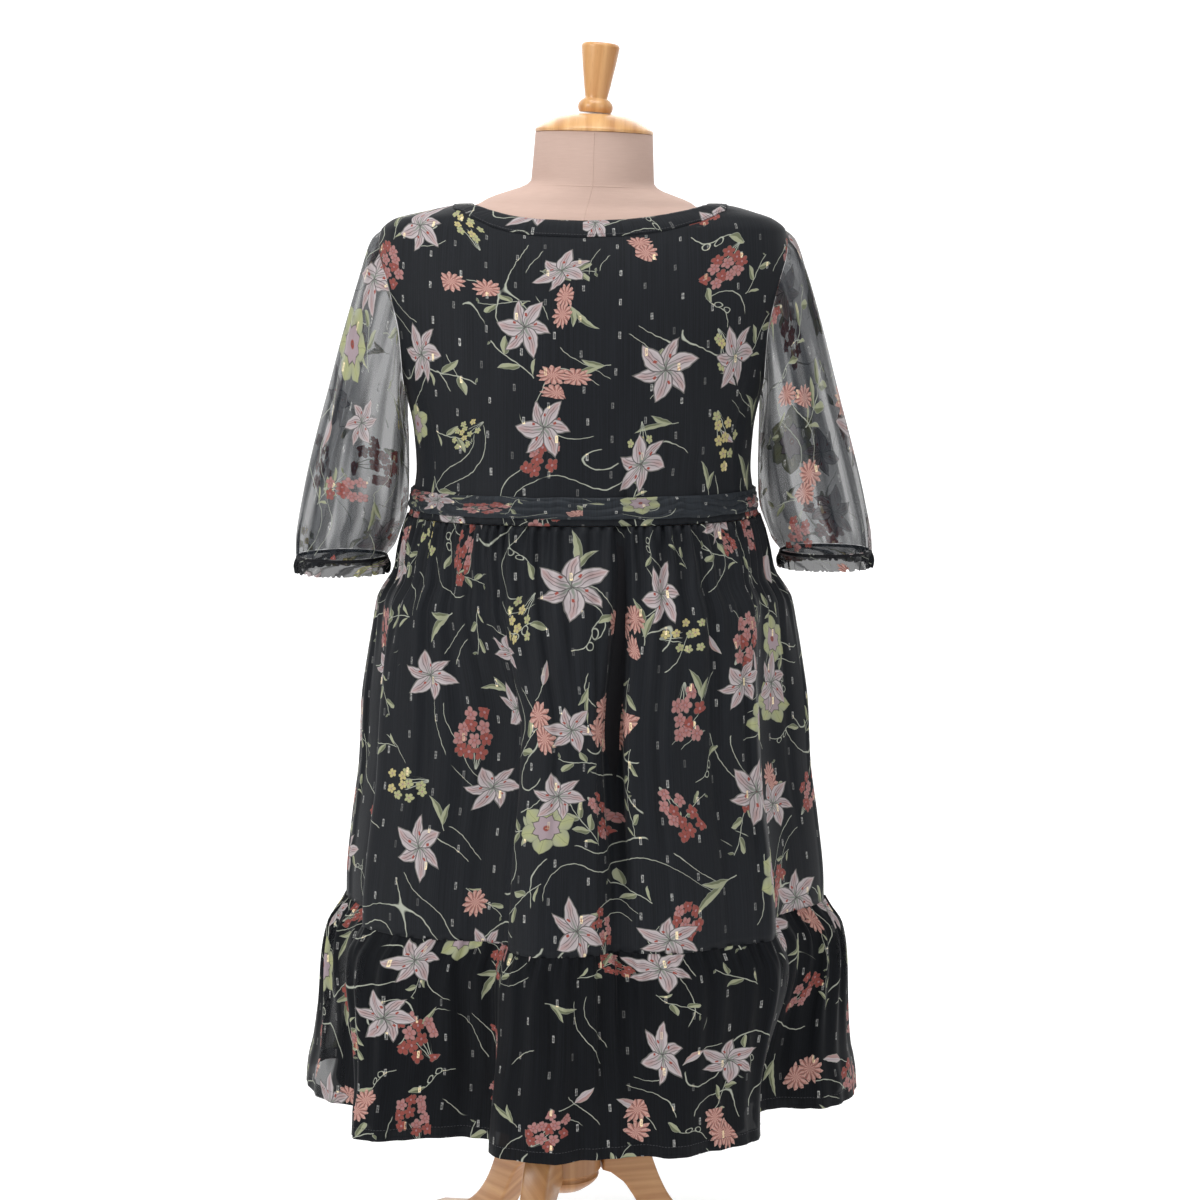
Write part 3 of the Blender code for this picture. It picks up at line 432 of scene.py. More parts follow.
# %% Curves, sections and hanging folds
class Curve:
    """A smooth curve through points that never swings past them."""

    def __init__(self, xs, ys):
        self.xs, self.ys = list(xs), list(ys)
        pairs = list(zip(self.xs, self.ys))
        steps = [(b[1] - a[1]) / (b[0] - a[0]) for a, b in zip(pairs, pairs[1:])]
        self.slopes = [steps[0]]
        for before, after in zip(steps, steps[1:]):
            same_way = before * after > 0
            self.slopes.append(2 * before * after / (before + after) if same_way else 0.0)
        self.slopes.append(steps[-1])

    def at(self, x):
        x = min(max(x, self.xs[0]), self.xs[-1])
        i = min(bisect.bisect_right(self.xs, x) - 1, len(self.xs) - 2)
        width = self.xs[i + 1] - self.xs[i]
        t = (x - self.xs[i]) / width
        rise = self.ys[i + 1] - self.ys[i]
        start, end = self.slopes[i] * width, self.slopes[i + 1] * width
        return self.ys[i] + start * t + (3 * rise - 2 * start - end) * t**2 + (start + end - 2 * rise) * t**3


class Sections:
    """A table of sections, read at any height."""

    def __init__(self, rows):
        heights = [row.height for row in rows]
        self.curves = [Curve(heights, column) for column in list(zip(*rows))[1:]]

    @lru_cache(maxsize=None)
    def at(self, height):
        return Section(height, *(curve.at(height) for curve in self.curves))


def round_the_ring(turns, values):
    """A curve over turns in degrees that closes on itself."""
    xs = [turn - 360 for turn in turns[-3:]] + turns + [turn + 360 for turn in turns[:3]]
    return Curve(xs, values[-3:] + values + values[:3])


class Hang:
    """How far the folds move each turn of a ring sideways, at the tier's seam and at the hem."""

    def __init__(self, rows, seam_section, hem_section):
        turns = [row.turn for row in rows]
        at_seam = [on_section(seam_section, math.radians(turn)) for turn in turns]
        at_hem = [on_section(hem_section, math.radians(turn)) for turn in turns]
        self.seam_x = round_the_ring(turns, [r.seam_x / 1000 - p.x for r, p in zip(rows, at_seam)])
        self.seam_y = round_the_ring(turns, [r.seam_y / 1000 - p.y for r, p in zip(rows, at_seam)])
        self.hem_x = round_the_ring(turns, [r.hem_x / 1000 - p.x for r, p in zip(rows, at_hem)])
        self.hem_y = round_the_ring(turns, [r.hem_y / 1000 - p.y for r, p in zip(rows, at_hem)])

    @lru_cache(maxsize=None)
    def at_seam(self, turn):
        degrees = (math.degrees(turn) + 180) % 360 - 180
        return Vector((self.seam_x.at(degrees), self.seam_y.at(degrees), 0))

    @lru_cache(maxsize=None)
    def at_hem(self, turn):
        degrees = (math.degrees(turn) + 180) % 360 - 180
        return Vector((self.hem_x.at(degrees), self.hem_y.at(degrees), 0))


def eased(low, high, x):
    """0 below low and 1 above high, with a smooth rise between them."""
    t = min(max((x - low) / (high - low), 0.0), 1.0)
    return t * t * (3 - 2 * t)


def power(value, exponent):
    return math.copysign(abs(value) ** exponent, value)


print("the tables can be read at any height and turn")

# %% [markdown]
# ## Shader maths in plain Python
#
# A shader is a board of nodes. Two small classes let it be written as sums: a Number wraps a socket and
# adds a Math node for each operator, and a Board adds any other node, its settings first and then its
# sockets.

# %% Numbers and boards
class Number:
    """A number in a shader. Its operators add Math nodes to the same board."""

    def __init__(self, board, socket):
        self.board, self.socket = board, socket

    def __add__(self, other):
        return self.board.maths("ADD", self, other)

    def __sub__(self, other):
        return self.board.maths("SUBTRACT", self, other)

    def __mul__(self, other):
        return self.board.maths("MULTIPLY", self, other)

    def __truediv__(self, other):
        return self.board.maths("DIVIDE", self, other)

    def __pow__(self, other):
        return self.board.maths("POWER", self, other)

    def __lt__(self, other):
        return self.board.maths("LESS_THAN", self, other)

    def __gt__(self, other):
        return self.board.maths("GREATER_THAN", self, other)

    def __radd__(self, other):
        return self.board.maths("ADD", other, self)

    def __rsub__(self, other):
        return self.board.maths("SUBTRACT", other, self)

    def __rmul__(self, other):
        return self.board.maths("MULTIPLY", other, self)

    def __abs__(self):
        return self.board.maths("ABSOLUTE", self)


class Board:
    """The nodes of one material or group."""

    def __init__(self, tree):
        self.tree = tree

    def plug(self, socket, value):
        if isinstance(value, Number):
            value = value.socket
        if isinstance(value, bpy.types.NodeSocket):
            self.tree.links.new(value, socket)
        else:
            socket.default_value = value

    def add(self, kind, settings, sockets):
        node = self.tree.nodes.new(kind if kind.startswith("Node") else "ShaderNode" + kind)
        for key, value in settings.items():
            if key == "stops":
                for stop in node.color_ramp.elements[2:]:
                    node.color_ramp.elements.remove(stop)
                while len(node.color_ramp.elements) < len(value):
                    node.color_ramp.elements.new(0.5)
                for stop, (position, colour) in zip(node.color_ramp.elements, value):
                    stop.position, stop.color = position, (*colour, 1.0)
            else:
                setattr(node, key, value)
        for key, value in sockets.items():
            self.plug(node.inputs[key], value)
        return node

    def maths(self, operation, *values, clamp=False):
        settings = {"operation": operation, "use_clamp": clamp}
        return Number(self, self.add("Math", settings, dict(enumerate(values))).outputs[0])

    def soft(self, value, width):
        """0 below zero and 1 above width, for a drawn edge that isn't jagged."""
        return self.maths("MULTIPLY", value, 1.0 / width, clamp=True)

    def arrows(self, operation, a, b=None, scale=None):
        sockets = {0: a}
        if b is not None:
            sockets[1] = b
        if scale is not None:
            sockets["Scale"] = scale
        return self.add("VectorMath", {"operation": operation}, sockets).outputs[0]

    def split(self, arrow):
        node = self.add("SeparateXYZ", {}, {0: arrow})
        return Number(self, node.outputs[0]), Number(self, node.outputs[1])

    def mix(self, share, a, b):
        a, b = ((*c, 1.0) if isinstance(c, tuple) else c for c in (a, b))
        return self.add("Mix", {"data_type": "RGBA"}, {0: share, 6: a, 7: b}).outputs[2]

    def noise(self, place, scale, detail=2.0, dimensions="3D", rough=0.5):
        sockets = {"Vector": place, "Scale": scale, "Detail": detail, "Roughness": rough}
        return self.add("TexNoise", {"noise_dimensions": dimensions}, sockets)


print("maths is ready")

# %% [markdown]
# ## Drawing one motif
#
# A flower is drawn in its own round coordinates. The circle is folded into as many equal sectors as there
# are petals, and one petal is drawn in a sector: how far a place lies inside the petal's outline gives the
# fill, a thin dark outline and the veins. The motifs are ordinary ones, drawn from their general build.

# %% Petals, heaps of florets, and leaves
INK = {
    "outline": (0.050, 0.042, 0.045), "lily": (0.450, 0.395, 0.405), "lily_pink": (0.400, 0.255, 0.245),
    "lily_edge": (0.560, 0.510, 0.510),
    "lily_star": (0.225, 0.245, 0.215), "stamen": (0.300, 0.060, 0.045),
    "carnation": (0.540, 0.310, 0.265), "carnation_dark": (0.235, 0.075, 0.062),
    "blossom": (0.260, 0.058, 0.045), "blossom_pale": (0.390, 0.190, 0.180),
    "open": (0.370, 0.385, 0.200), "open_heart": (0.360, 0.285, 0.310), "umbel": (0.500, 0.430, 0.190),
    "umbel_heart": (0.330, 0.190, 0.200), "leaf": (0.330, 0.345, 0.225), "leaf_shade": (0.145, 0.160, 0.095),
    "stem": (0.400, 0.420, 0.350),
}
FULL_TURN = 2 * math.pi


class Spot:
    """A motif's own coordinates on a board: x and y from -1 to 1, the distance and the angle."""

    def __init__(self, board, arrow, luck, kind=0.0):
        self.board, self.arrow, self.luck, self.kind = board, arrow, luck, kind
        self.x, self.y = board.split(arrow)
        self.far = board.maths("SQRT", self.x * self.x + self.y * self.y)
        self.angle = board.maths("ARCTAN2", self.y, self.x)

    def sector(self, count, turn, swirl=0.0):
        """(the sector's number, the distance along its middle line, the distance across)"""
        place = (self.angle + self.far * swirl + turn) * (count / FULL_TURN)
        number = self.board.maths("FLOOR", place)
        off = (place - number - 0.5) * (FULL_TURN / count)
        return number, self.far * self.board.maths("COSINE", off), self.far * self.board.maths("SINE", off)

    def heap(self, fineness, radius, spread, squash):
        """The nearest floret of a heap in which they crowd each other: its own Spot, and if it is there."""
        board = self.board
        shift = board.add("CombineXYZ", {}, {0: self.luck * 37.0, 1: self.luck * 11.0, 2: 0.0}).outputs[0]
        moved = board.arrows("ADD", board.arrows("SCALE", self.arrow, scale=fineness), shift)
        sockets = {"Vector": moved, "Scale": 1.0, "Randomness": 0.66}
        cell = board.add("TexVoronoi", {"voronoi_dimensions": "2D", "feature": "F1"}, sockets)
        own = board.arrows("SUBTRACT", moved, cell.outputs["Position"])
        own = board.arrows("SCALE", own, scale=board.maths("DIVIDE", 1.0, radius))
        middle = board.arrows("SUBTRACT", cell.outputs["Position"], shift)
        middle = board.arrows("SCALE", middle, scale=1 / fineness)
        mx, my = board.split(middle)
        luck = Number(board, board.add("SeparateColor", {}, {0: cell.outputs["Color"]}).outputs[0])
        off = board.maths("SQRT", mx * mx + my * my * squash) + (luck - 0.5) * 0.30
        return Spot(board, own, luck), board.maths("LESS_THAN", off, spread)


def petal(board, along, across, length, width, fullness):
    """How far a place lies inside a petal that is widest towards its tip if fullness is over 0.5."""
    share = board.maths("MULTIPLY", along, 1.0 / length, clamp=True)
    return board.maths("SINE", share**fullness * math.pi) * width - abs(across)


def draw_lily(spot):
    """Six pointed petals with a blush down each, two veins, a starry heart and dark anthers."""
    board = spot.board
    _, low_along, low_across = spot.sector(3, 0.0, 0.5)
    _, top_along, top_across = spot.sector(3, math.pi / 3, 0.35)
    low = petal(board, low_along, low_across, 0.94, 0.22, 0.80)
    top = petal(board, top_along, top_across, 1.00, 0.27, 0.85)
    is_top = board.soft(top, 0.02)
    inside = board.maths("MAXIMUM", low, top)
    across = abs(low_across) + (abs(top_across) - abs(low_across)) * is_top
    blush = board.soft(0.12 - across, 0.12) * board.soft(spot.far - 0.20, 0.4)
    colour = board.mix(blush * 0.85, INK["lily"], INK["lily_pink"])
    within = board.maths("MAXIMUM", top, low - is_top * 9.0)
    colour = board.mix((1 - board.soft(within - 0.055, 0.05)) * 0.7, colour, INK["lily_edge"])
    vein = board.soft(0.020 - abs(across - 0.085), 0.014) * board.soft(0.88 - spot.far, 0.3)
    vein = board.maths("MAXIMUM", vein, board.soft(0.018 - across, 0.012) * board.soft(0.80 - spot.far, 0.2))
    colour = board.mix(vein * 0.62, colour, INK["outline"])
    star = board.soft(0.40 - spot.far, 0.25) * board.soft(0.06 - across, 0.04)
    colour = board.mix(star, colour, INK["lily_star"])
    border = 1 - board.soft(within - 0.024, 0.03)
    colour = board.mix(border * 0.85, colour, INK["outline"])
    _, stamen_along, stamen_across = spot.sector(5, 0.5, -0.3)
    tips = board.soft(0.045 - abs(stamen_across), 0.02) * board.soft(0.06 - abs(stamen_along - 0.38), 0.02)
    return board.soft(inside, 0.02), board.mix(tips, colour, INK["stamen"])


def draw_florets(spot):
    """A heap of five-petalled florets on a fan of stalks: crowded red ones, or looser yellow ones."""
    board = spot.board
    yellow = spot.kind > 0.40
    own, present = spot.heap(2.6, 0.60 - yellow * 0.16, 0.80 - yellow * 0.06, 1.6)
    light = board.mix(yellow, INK["blossom_pale"], INK["umbel"])
    dark = board.mix(yellow, INK["blossom"], INK["open"])
    lobes = abs(board.maths("COSINE", own.angle * 2.5 + own.luck * 6.0))
    inside = lobes * 0.36 + 0.64 - own.far
    colour = board.mix(board.soft(0.50 - own.far, 0.2) * 0.45, light, dark)
    colour = board.mix((own.luck < 0.40) * 0.90, colour, dark)
    gap = (1 - board.soft(lobes - 0.10, 0.18)) * board.soft(own.far - 0.15, 0.1)
    border = 1 - board.soft(inside - 0.03, 0.10)
    colour = board.mix(board.maths("MAXIMUM", border, gap) * 0.7, colour, INK["outline"])
    colour = board.mix(board.soft(0.20 - own.far, 0.06), colour, INK["umbel_heart"])
    mask = board.soft(inside, 0.05) * present * board.soft(0.99 - spot.far, 0.02)
    away = 0.98 - spot.x
    fan = board.maths("ARCTAN2", spot.y, away) * 4.5
    ray = abs(fan - board.maths("FLOOR", fan + 0.5))
    stalk = board.soft(0.085 - ray * away, 0.05) * board.soft(away - 0.05, 0.02)
    stalk = stalk * board.soft(0.85 - away, 0.1) * board.soft(1.9 - abs(fan), 0.1)
    stalk = stalk * board.soft(0.97 - spot.far, 0.02)
    return board.maths("MAXIMUM", mask, stalk), board.mix(mask, INK["stem"], colour)


def draw_carnations(spot):
    """Three or four fringed heads, streaked from their middles."""
    board = spot.board
    own, present = spot.heap(1.38, 0.66, 0.66, 1.3)
    turns = own.angle * (12 / FULL_TURN) + own.luck * 3.0
    fringe = abs(board.maths("FRACT", turns) - 0.5) * 2
    inside = fringe * 0.34 + 0.66 - own.far
    streak = abs(board.maths("FRACT", turns + own.far * 0.5) - 0.5) * 2
    colour = board.mix(board.soft(streak - 0.55, 0.3) * 0.85, INK["carnation"], INK["carnation_dark"])
    slits = (1 - board.soft(fringe - 0.06, 0.2)) * board.soft(own.far - 0.30, 0.15)
    colour = board.mix(slits * 0.85, colour, INK["outline"])
    rows = board.maths("FRACT", own.far * 2.2 + fringe * 0.35)
    colour = board.mix(board.soft(rows - 0.80, 0.12) * 0.55, colour, INK["carnation_dark"])
    return board.soft(inside, 0.04) * present * board.soft(0.99 - spot.far, 0.02), colour


def draw_open_flower(spot):
    """Six broad petals round a frilled heart."""
    board = spot.board
    _, along, across = spot.sector(6, 0.1, 0.15)
    outer = petal(board, along, across, 0.95, 0.34, 1.45)
    _, heart_along, heart_across = spot.sector(8, 0.0)
    heart = petal(board, heart_along, heart_across, 0.48, 0.17, 1.10)
    colour = board.mix(board.soft(abs(across) - 0.03, 0.2), INK["open"], INK["leaf"])
    colour = board.mix(board.soft(0.016 - abs(across), 0.012) * 0.5, colour, INK["leaf_shade"])
    border = 1 - board.soft(outer - 0.018, 0.035)
    colour = board.mix(border * 0.75, colour, INK["leaf_shade"])
    colour = board.mix(board.soft(heart, 0.02), colour, INK["open_heart"])
    rim = board.soft(0.035 - abs(heart), 0.025) * board.soft(0.55 - spot.far, 0.05)
    colour = board.mix(rim * 0.8, colour, INK["outline"])
    colour = board.mix(board.soft(0.12 - spot.far, 0.04), colour, INK["blossom"])
    return board.soft(board.maths("MAXIMUM", outer, heart), 0.02), colour


def draw_leaf(board, along, across, length, width, light, dark):
    """A two-toned leaf, pale on one half, from 0 to its length."""
    inside = petal(board, along, across, length, width, 0.85)
    colour = board.mix(board.soft(across + 0.15 * width, 0.02), dark, light)
    rim = 1 - board.soft(inside - 0.014, 0.02)
    colour = board.mix(rim * 0.8, colour, INK["stem"])
    return board.soft(inside, 0.02), colour


def draw_sprig(spot):
    """A curved stem with a few leaves that point forwards."""
    board = spot.board
    bent = spot.y - board.maths("SINE", spot.x * 2.2) * 0.16
    forward = spot.x - abs(bent) * 0.70
    number = board.maths("FLOOR", forward * 1.7)
    off = (forward * 1.7 - number - 0.5) * (1 / 1.7)
    mask, colour = draw_leaf(board, abs(bent), off, 0.62, 0.180, INK["leaf"], INK["leaf_shade"])
    odd = board.maths("FRACT", number * 0.5 + board.soft(bent, 0.001) * 0.5 + spot.luck) < 0.6
    stem = board.soft(0.026 - abs(bent), 0.014) * board.soft(0.92 - abs(spot.x), 0.02)
    mask = mask * board.soft(0.86 - abs(forward), 0.02) * board.soft(0.97 - spot.far, 0.02) * odd
    return board.maths("MAXIMUM", mask, stem), board.mix(mask, INK["stem"], colour)


def draw_blades(spot):
    """Two long curved leaves that part at the end of a stalk."""
    board = spot.board
    mask, colour = 0.0, None
    for lean, length, width, bend in ((0.30, 1.55, 0.17, -0.28), (-0.62, 1.05, 0.15, 0.30)):
        x, y = spot.x + 0.75, spot.y
        along = x * math.cos(lean) + y * math.sin(lean)
        across = y * math.cos(lean) - x * math.sin(lean) - along * (length - along) * bend
        leaf, paint = draw_leaf(board, along, across, length, width, INK["leaf"], INK["leaf_shade"])
        colour = paint if colour is None else board.mix(leaf, colour, paint)
        mask = board.maths("MAXIMUM", mask, leaf)
    stem = board.soft(0.028 - abs(spot.y), 0.014) * between(board, spot.x, -0.97, -0.70)
    mask = mask * board.soft(0.98 - spot.far, 0.02)
    return board.maths("MAXIMUM", mask, stem), board.mix(mask, INK["stem"], colour)


def draw_tendril(spot):
    """A thin stem that winds through two small loops to a leaf."""
    board = spot.board
    wind = board.maths("SINE", spot.x * 3.6) * 0.20
    line = board.soft(0.026 - abs(spot.y - wind), 0.014) * board.soft(0.95 - abs(spot.x), 0.02)
    loop_x = abs(spot.x - 0.15) - 0.20
    loop_y = spot.y - wind - 0.13
    loop = board.maths("SQRT", loop_x * loop_x + loop_y * loop_y)
    line = board.maths("MAXIMUM", line, board.soft(0.026 - abs(loop - 0.135), 0.014))
    along, across = spot.x + 0.95, spot.y - wind - 0.05
    mask, colour = draw_leaf(board, along, across, 0.62, 0.19, INK["leaf"], INK["leaf_shade"])
    return board.maths("MAXIMUM", line, mask), board.mix(mask, INK["stem"], colour)


def draw_bud(spot):
    """A closed lily on a curved stalk."""
    board = spot.board
    wind = spot.x * spot.x * 0.25
    mask, colour = draw_leaf(board, spot.x + 0.15, spot.y - wind, 1.05, 0.22, INK["lily"], INK["lily_pink"])
    vein = board.soft(0.014 - abs(abs(spot.y - wind) - 0.07), 0.012)
    colour = board.mix(vein * 0.5, colour, INK["outline"])
    stem = board.soft(0.026 - abs(spot.y - wind), 0.014) * between(board, spot.x, -0.92, 0.0)
    return board.maths("MAXIMUM", mask, stem), board.mix(mask, INK["stem"], colour)


def between(board, value, low, high):
    return (value > low) * (value < high)


print(len(INK), "inks")

# %% [markdown]
# ## The whole print
#
# Motifs are strewn over the cloth without ever being cut off. One Voronoi texture gives each place its
# nearest motif's middle and three random numbers, for the kind, the turn and the shape. A second gives the
# free room round that middle, and the motif is scaled to it. Greenery lies lowest with winding stems, which
# are the level lines of a soft noise. Heaps of florets lie on it, and the lilies on top. Short metal
# threads stand over all in a half-drop grid.

# %% The flower print as a node group
Layer = namedtuple("Layer", "spacing shift largest smallest randomness kinds")
LAYERS = (  # spacing and shift are in metres, and the radii in spacings; each kind has its share of the draw
    Layer(0.068, 0.31, 0.60, 0.30, 0.66, (
        (draw_sprig, -0.1, 0.36), (draw_blades, 0.36, 0.58), (draw_tendril, 0.58, 0.84),
        (draw_bud, 0.84, 0.95))),
    Layer(0.094, 0.57, 0.40, 0.27, 0.58, (
        (draw_florets, -0.1, 0.50), (draw_carnations, 0.50, 0.72), (draw_open_flower, 0.72, 0.81))),
    Layer(0.110, 0.13, 0.35, 0.22, 0.78, ((draw_lily, -0.1, 0.62),)),
)
DASH_ACROSS, DASH_UP = 0.0335, 0.0385


def strew(board, place, layer):
    """The nearest motif's own Spot, and whether it has enough room."""
    moved = board.arrows("ADD", place, (layer.shift, layer.shift * 0.7, 0.0))
    moved = board.arrows("SCALE", moved, scale=1.0 / layer.spacing)
    sockets = {"Vector": moved, "Scale": 1.0, "Randomness": layer.randomness}
    cell = board.add("TexVoronoi", {"voronoi_dimensions": "2D", "feature": "F1"}, sockets)
    room = board.add("TexVoronoi", {"voronoi_dimensions": "2D", "feature": "N_SPHERE_RADIUS"}, sockets)
    room = Number(board, room.outputs["Radius"])
    reach = board.maths("MINIMUM", room, layer.largest)
    away = board.arrows("SUBTRACT", moved, cell.outputs["Position"])
    away = board.arrows("SCALE", away, scale=board.maths("DIVIDE", 1.0, reach))
    chance = board.add("SeparateColor", {}, {0: cell.outputs["Color"]})
    kind, turn, shape = (Number(board, chance.outputs[i]) for i in range(3))
    sockets = {"Vector": away, "Angle": turn * FULL_TURN}
    turned = board.add("VectorRotate", {"rotation_type": "Z_AXIS"}, sockets).outputs[0]
    slim = board.add("CombineXYZ", {}, {0: 1.0, 1: 1.0 + shape * 0.70, 2: 1.0}).outputs[0]
    return Spot(board, board.arrows("MULTIPLY", turned, slim), shape, kind), room > layer.smallest


def metal_threads(board, flat):
    """Short hollow dashes in a half-drop grid, each with its own brightness, and painted glints where a fine
    noise peaks.
    """
    u, v = board.split(flat)
    column = board.maths("FLOOR", u * (1 / DASH_ACROSS))
    row = v * (1 / DASH_UP) + column * 0.5
    row_number = board.maths("FLOOR", row)
    own = board.add("CombineXYZ", {}, {0: column, 1: row_number, 2: 0.0}).outputs[0]
    luck = board.add("TexWhiteNoise", {"noise_dimensions": "2D"}, {"Vector": own}).outputs["Value"]
    luck = Number(board, luck)
    across = abs(u * (1 / DASH_ACROSS) - column - 0.3 - luck * 0.4)
    up = row - row_number - 0.5
    dash = board.soft(0.045 - across, 0.012) * board.soft(0.110 - abs(up), 0.02)
    hollow = 1 - board.soft(0.024 - across, 0.012) * board.soft(0.080 - abs(up), 0.02) * 0.7
    # Painted glints: a fine noise brightens parts of the dashes in their colour.
    painted_glint = Number(board, board.noise(flat, 420.0, 0.0, "2D").outputs["Fac"])
    shine = board.maths("ADD", 0.12 + 0.42 * luck, board.soft(painted_glint - 0.54, 0.10) * luck, clamp=True)
    return dash * hollow * shine


def make_print():
    group = bpy.data.node_groups.new("flower_print", "ShaderNodeTree")
    group.interface.new_socket("Place", in_out="INPUT", socket_type="NodeSocketVector")
    group.interface.new_socket("Colour", in_out="OUTPUT", socket_type="NodeSocketColor")
    group.interface.new_socket("Ink", in_out="OUTPUT", socket_type="NodeSocketFloat")
    group.interface.new_socket("Thread", in_out="OUTPUT", socket_type="NodeSocketFloat")
    board = Board(group)
    flat = board.add("NodeGroupInput", {}, {}).outputs[0]
    shake = board.noise(flat, 160.0, 0.0, "2D").outputs["Color"]
    shake = board.arrows("SCALE", board.arrows("SUBTRACT", shake, (0.5, 0.5, 0.5)), scale=0.0014)
    place = board.arrows("ADD", flat, shake)

    level = Number(board, board.noise(place, 11.0, 0.0, "2D").outputs["Fac"])
    vine = board.soft(0.0050 - abs(level - 0.46), 0.003)
    vine = board.maths("MAXIMUM", vine, board.soft(0.0046 - abs(level - 0.60), 0.003))
    gate = Number(board, board.noise(place, 15.0, 0.0, "2D").outputs["Fac"])
    ink = vine * board.soft(gate - 0.50, 0.02)
    colour = board.mix(0.0, INK["stem"], INK["stem"])
    for layer in LAYERS:
        spot, roomy = strew(board, place, layer)
        for draw, low, high in layer.kinds:
            mask, paint = draw(spot)
            mask = mask * between(board, spot.kind, low, high) * roomy
            colour, ink = board.mix(mask, colour, paint), board.maths("MAXIMUM", ink, mask)

    board.add("NodeGroupOutput", {}, {"Colour": colour, "Ink": ink, "Thread": metal_threads(board, flat)})
    print("the print has", len(group.nodes), "nodes")
    return group


PRINT = make_print()

# %% [markdown]
# ## Georgette, lining, linen and wood
#
# Georgette is a dull crêpe: a fine pebbled weave with faint lengthwise streaks. Where the skirt and the
# bodice have the lining right behind them, the cloth looks opaque. The sleeves and the lower tier use the
# same cloth with transparency: it covers more where it is printed, and along soft folds, where it lies
# double.

# %% The cloths
def new_material(name, roughness, specular, sheen=0.0):
    material = bpy.data.materials.new(name)
    material.use_nodes = True
    board = Board(material.node_tree)
    shader = material.node_tree.nodes["Principled BSDF"]
    shader.inputs["Roughness"].default_value = roughness
    shader.inputs["Specular IOR Level"].default_value = specular
    shader.inputs["Sheen Weight"].default_value = sheen
    shader.inputs["Sheen Roughness"].default_value = 0.45
    return material, board, shader


Cloth = namedtuple("Cloth", "name ground streak cover folds ink specular")
CLOTHS = (  # the ground's two tones, its cover, what its folds add to that, and the print's strength
    Cloth("printed_georgette_look", (0.0042, 0.0052, 0.0072), (0.0105, 0.0125, 0.0165), None, 0, 1, 0.18),
    Cloth("sheer_sleeve_look", (0.0100, 0.0130, 0.0180), (0.0230, 0.0280, 0.0360), 0.49, 0.34, 1, 0.12),
    # The lower tier's ground is darker than the skirt's: painted shade, for the dimmer light low on the
    # dress.
    Cloth("sheer_tier_look", (0.0028, 0.0034, 0.0045), (0.0075, 0.0088, 0.0115), 0.83, 0.15, 1, 0.09),
    # The belt's ground is lighter and bluer than the skirt's: painted sheen on its wrinkles.
    Cloth("bunched_georgette_look", (0.0060, 0.0085, 0.0120), (0.0160, 0.0215, 0.0290), None, 0, 0.80, 0.30),
    Cloth("gathered_georgette_look", (0.0035, 0.0042, 0.0056), (0.0090, 0.0105, 0.0140), 0.82, 0.16, 1, 0.12),
)
BACKED_COVER = 0.985


def georgette(cloth):
    material, board, shader = new_material(cloth.name, 0.62, cloth.specular, 0.04)
    flat = board.add("UVMap", {"uv_map": "cut"}, {}).outputs[0]
    pattern = board.add("Group", {"node_tree": PRINT}, {"Place": flat})
    ink, thread = Number(board, pattern.outputs["Ink"]) * cloth.ink, Number(board, pattern.outputs["Thread"])
    stretched = board.arrows("MULTIPLY", flat, (900.0, 9.0, 1.0))
    streak = Number(board, board.noise(stretched, 1.0, 0.0, "2D").outputs["Fac"])
    pebble = Number(board, board.noise(flat, 1500.0, 0.0, "2D").outputs["Fac"])
    ground = board.mix(streak, cloth.ground, cloth.streak)
    colour = board.mix(ink * (0.88 + 0.12 * pebble), ground, pattern.outputs["Colour"])
    # Over the flowers the threads are drawn stronger and pale gold, as painted glints; on the ground they are
    # drawn grey.
    metal = board.maths("MINIMUM", thread * (1 + ink), 1.0)
    colour = board.mix(metal, colour, board.mix(ink, (0.50, 0.50, 0.48), (1.0, 0.84, 0.52)))
    board.plug(shader.inputs["Base Color"], colour)
    board.plug(shader.inputs["Metallic"], thread * 0.30)
    board.plug(shader.inputs["Roughness"], 0.62 - thread * 0.20)
    if cloth.cover is not None:
        drawn = board.arrows("MULTIPLY", flat, (42.0, 3.5, 1.0))
        folds = board.soft(Number(board, board.noise(drawn, 1.0, 1.0, "2D").outputs["Fac"]) - 0.46, 0.14)
        cover = board.maths("ADD", folds * cloth.folds + cloth.cover, ink * 0.30, clamp=True)
        backed = Number(board, board.add("Attribute", {"attribute_name": "backed"}, {}).outputs["Fac"])
        cover = board.maths("MAXIMUM", cover, backed * BACKED_COVER)
        board.plug(shader.inputs["Alpha"], board.maths("MAXIMUM", cover, thread))
    else:
        bump = board.add("Bump", {}, {"Strength": 0.22, "Distance": 0.0004, "Height": pebble + streak * 0.6})
        board.plug(shader.inputs["Normal"], bump.outputs[0])
    return material


PRINTED, SLEEVE_CLOTH, TIER_CLOTH, BELT_CLOTH, GATHERED = (georgette(cloth) for cloth in CLOTHS)


def lining():
    material, board, shader = new_material("black_lining_look", 0.65, 0.15)
    flat = board.add("UVMap", {"uv_map": "cut"}, {}).outputs[0]
    drawn = board.arrows("MULTIPLY", flat, (1400.0, 60.0, 1.0))
    warp = Number(board, board.noise(drawn, 1.0, 1.0).outputs["Fac"])
    board.plug(shader.inputs["Base Color"], board.mix(warp, (0.004, 0.004, 0.005), (0.011, 0.011, 0.014)))
    return material


LINING_CLOTH = lining()


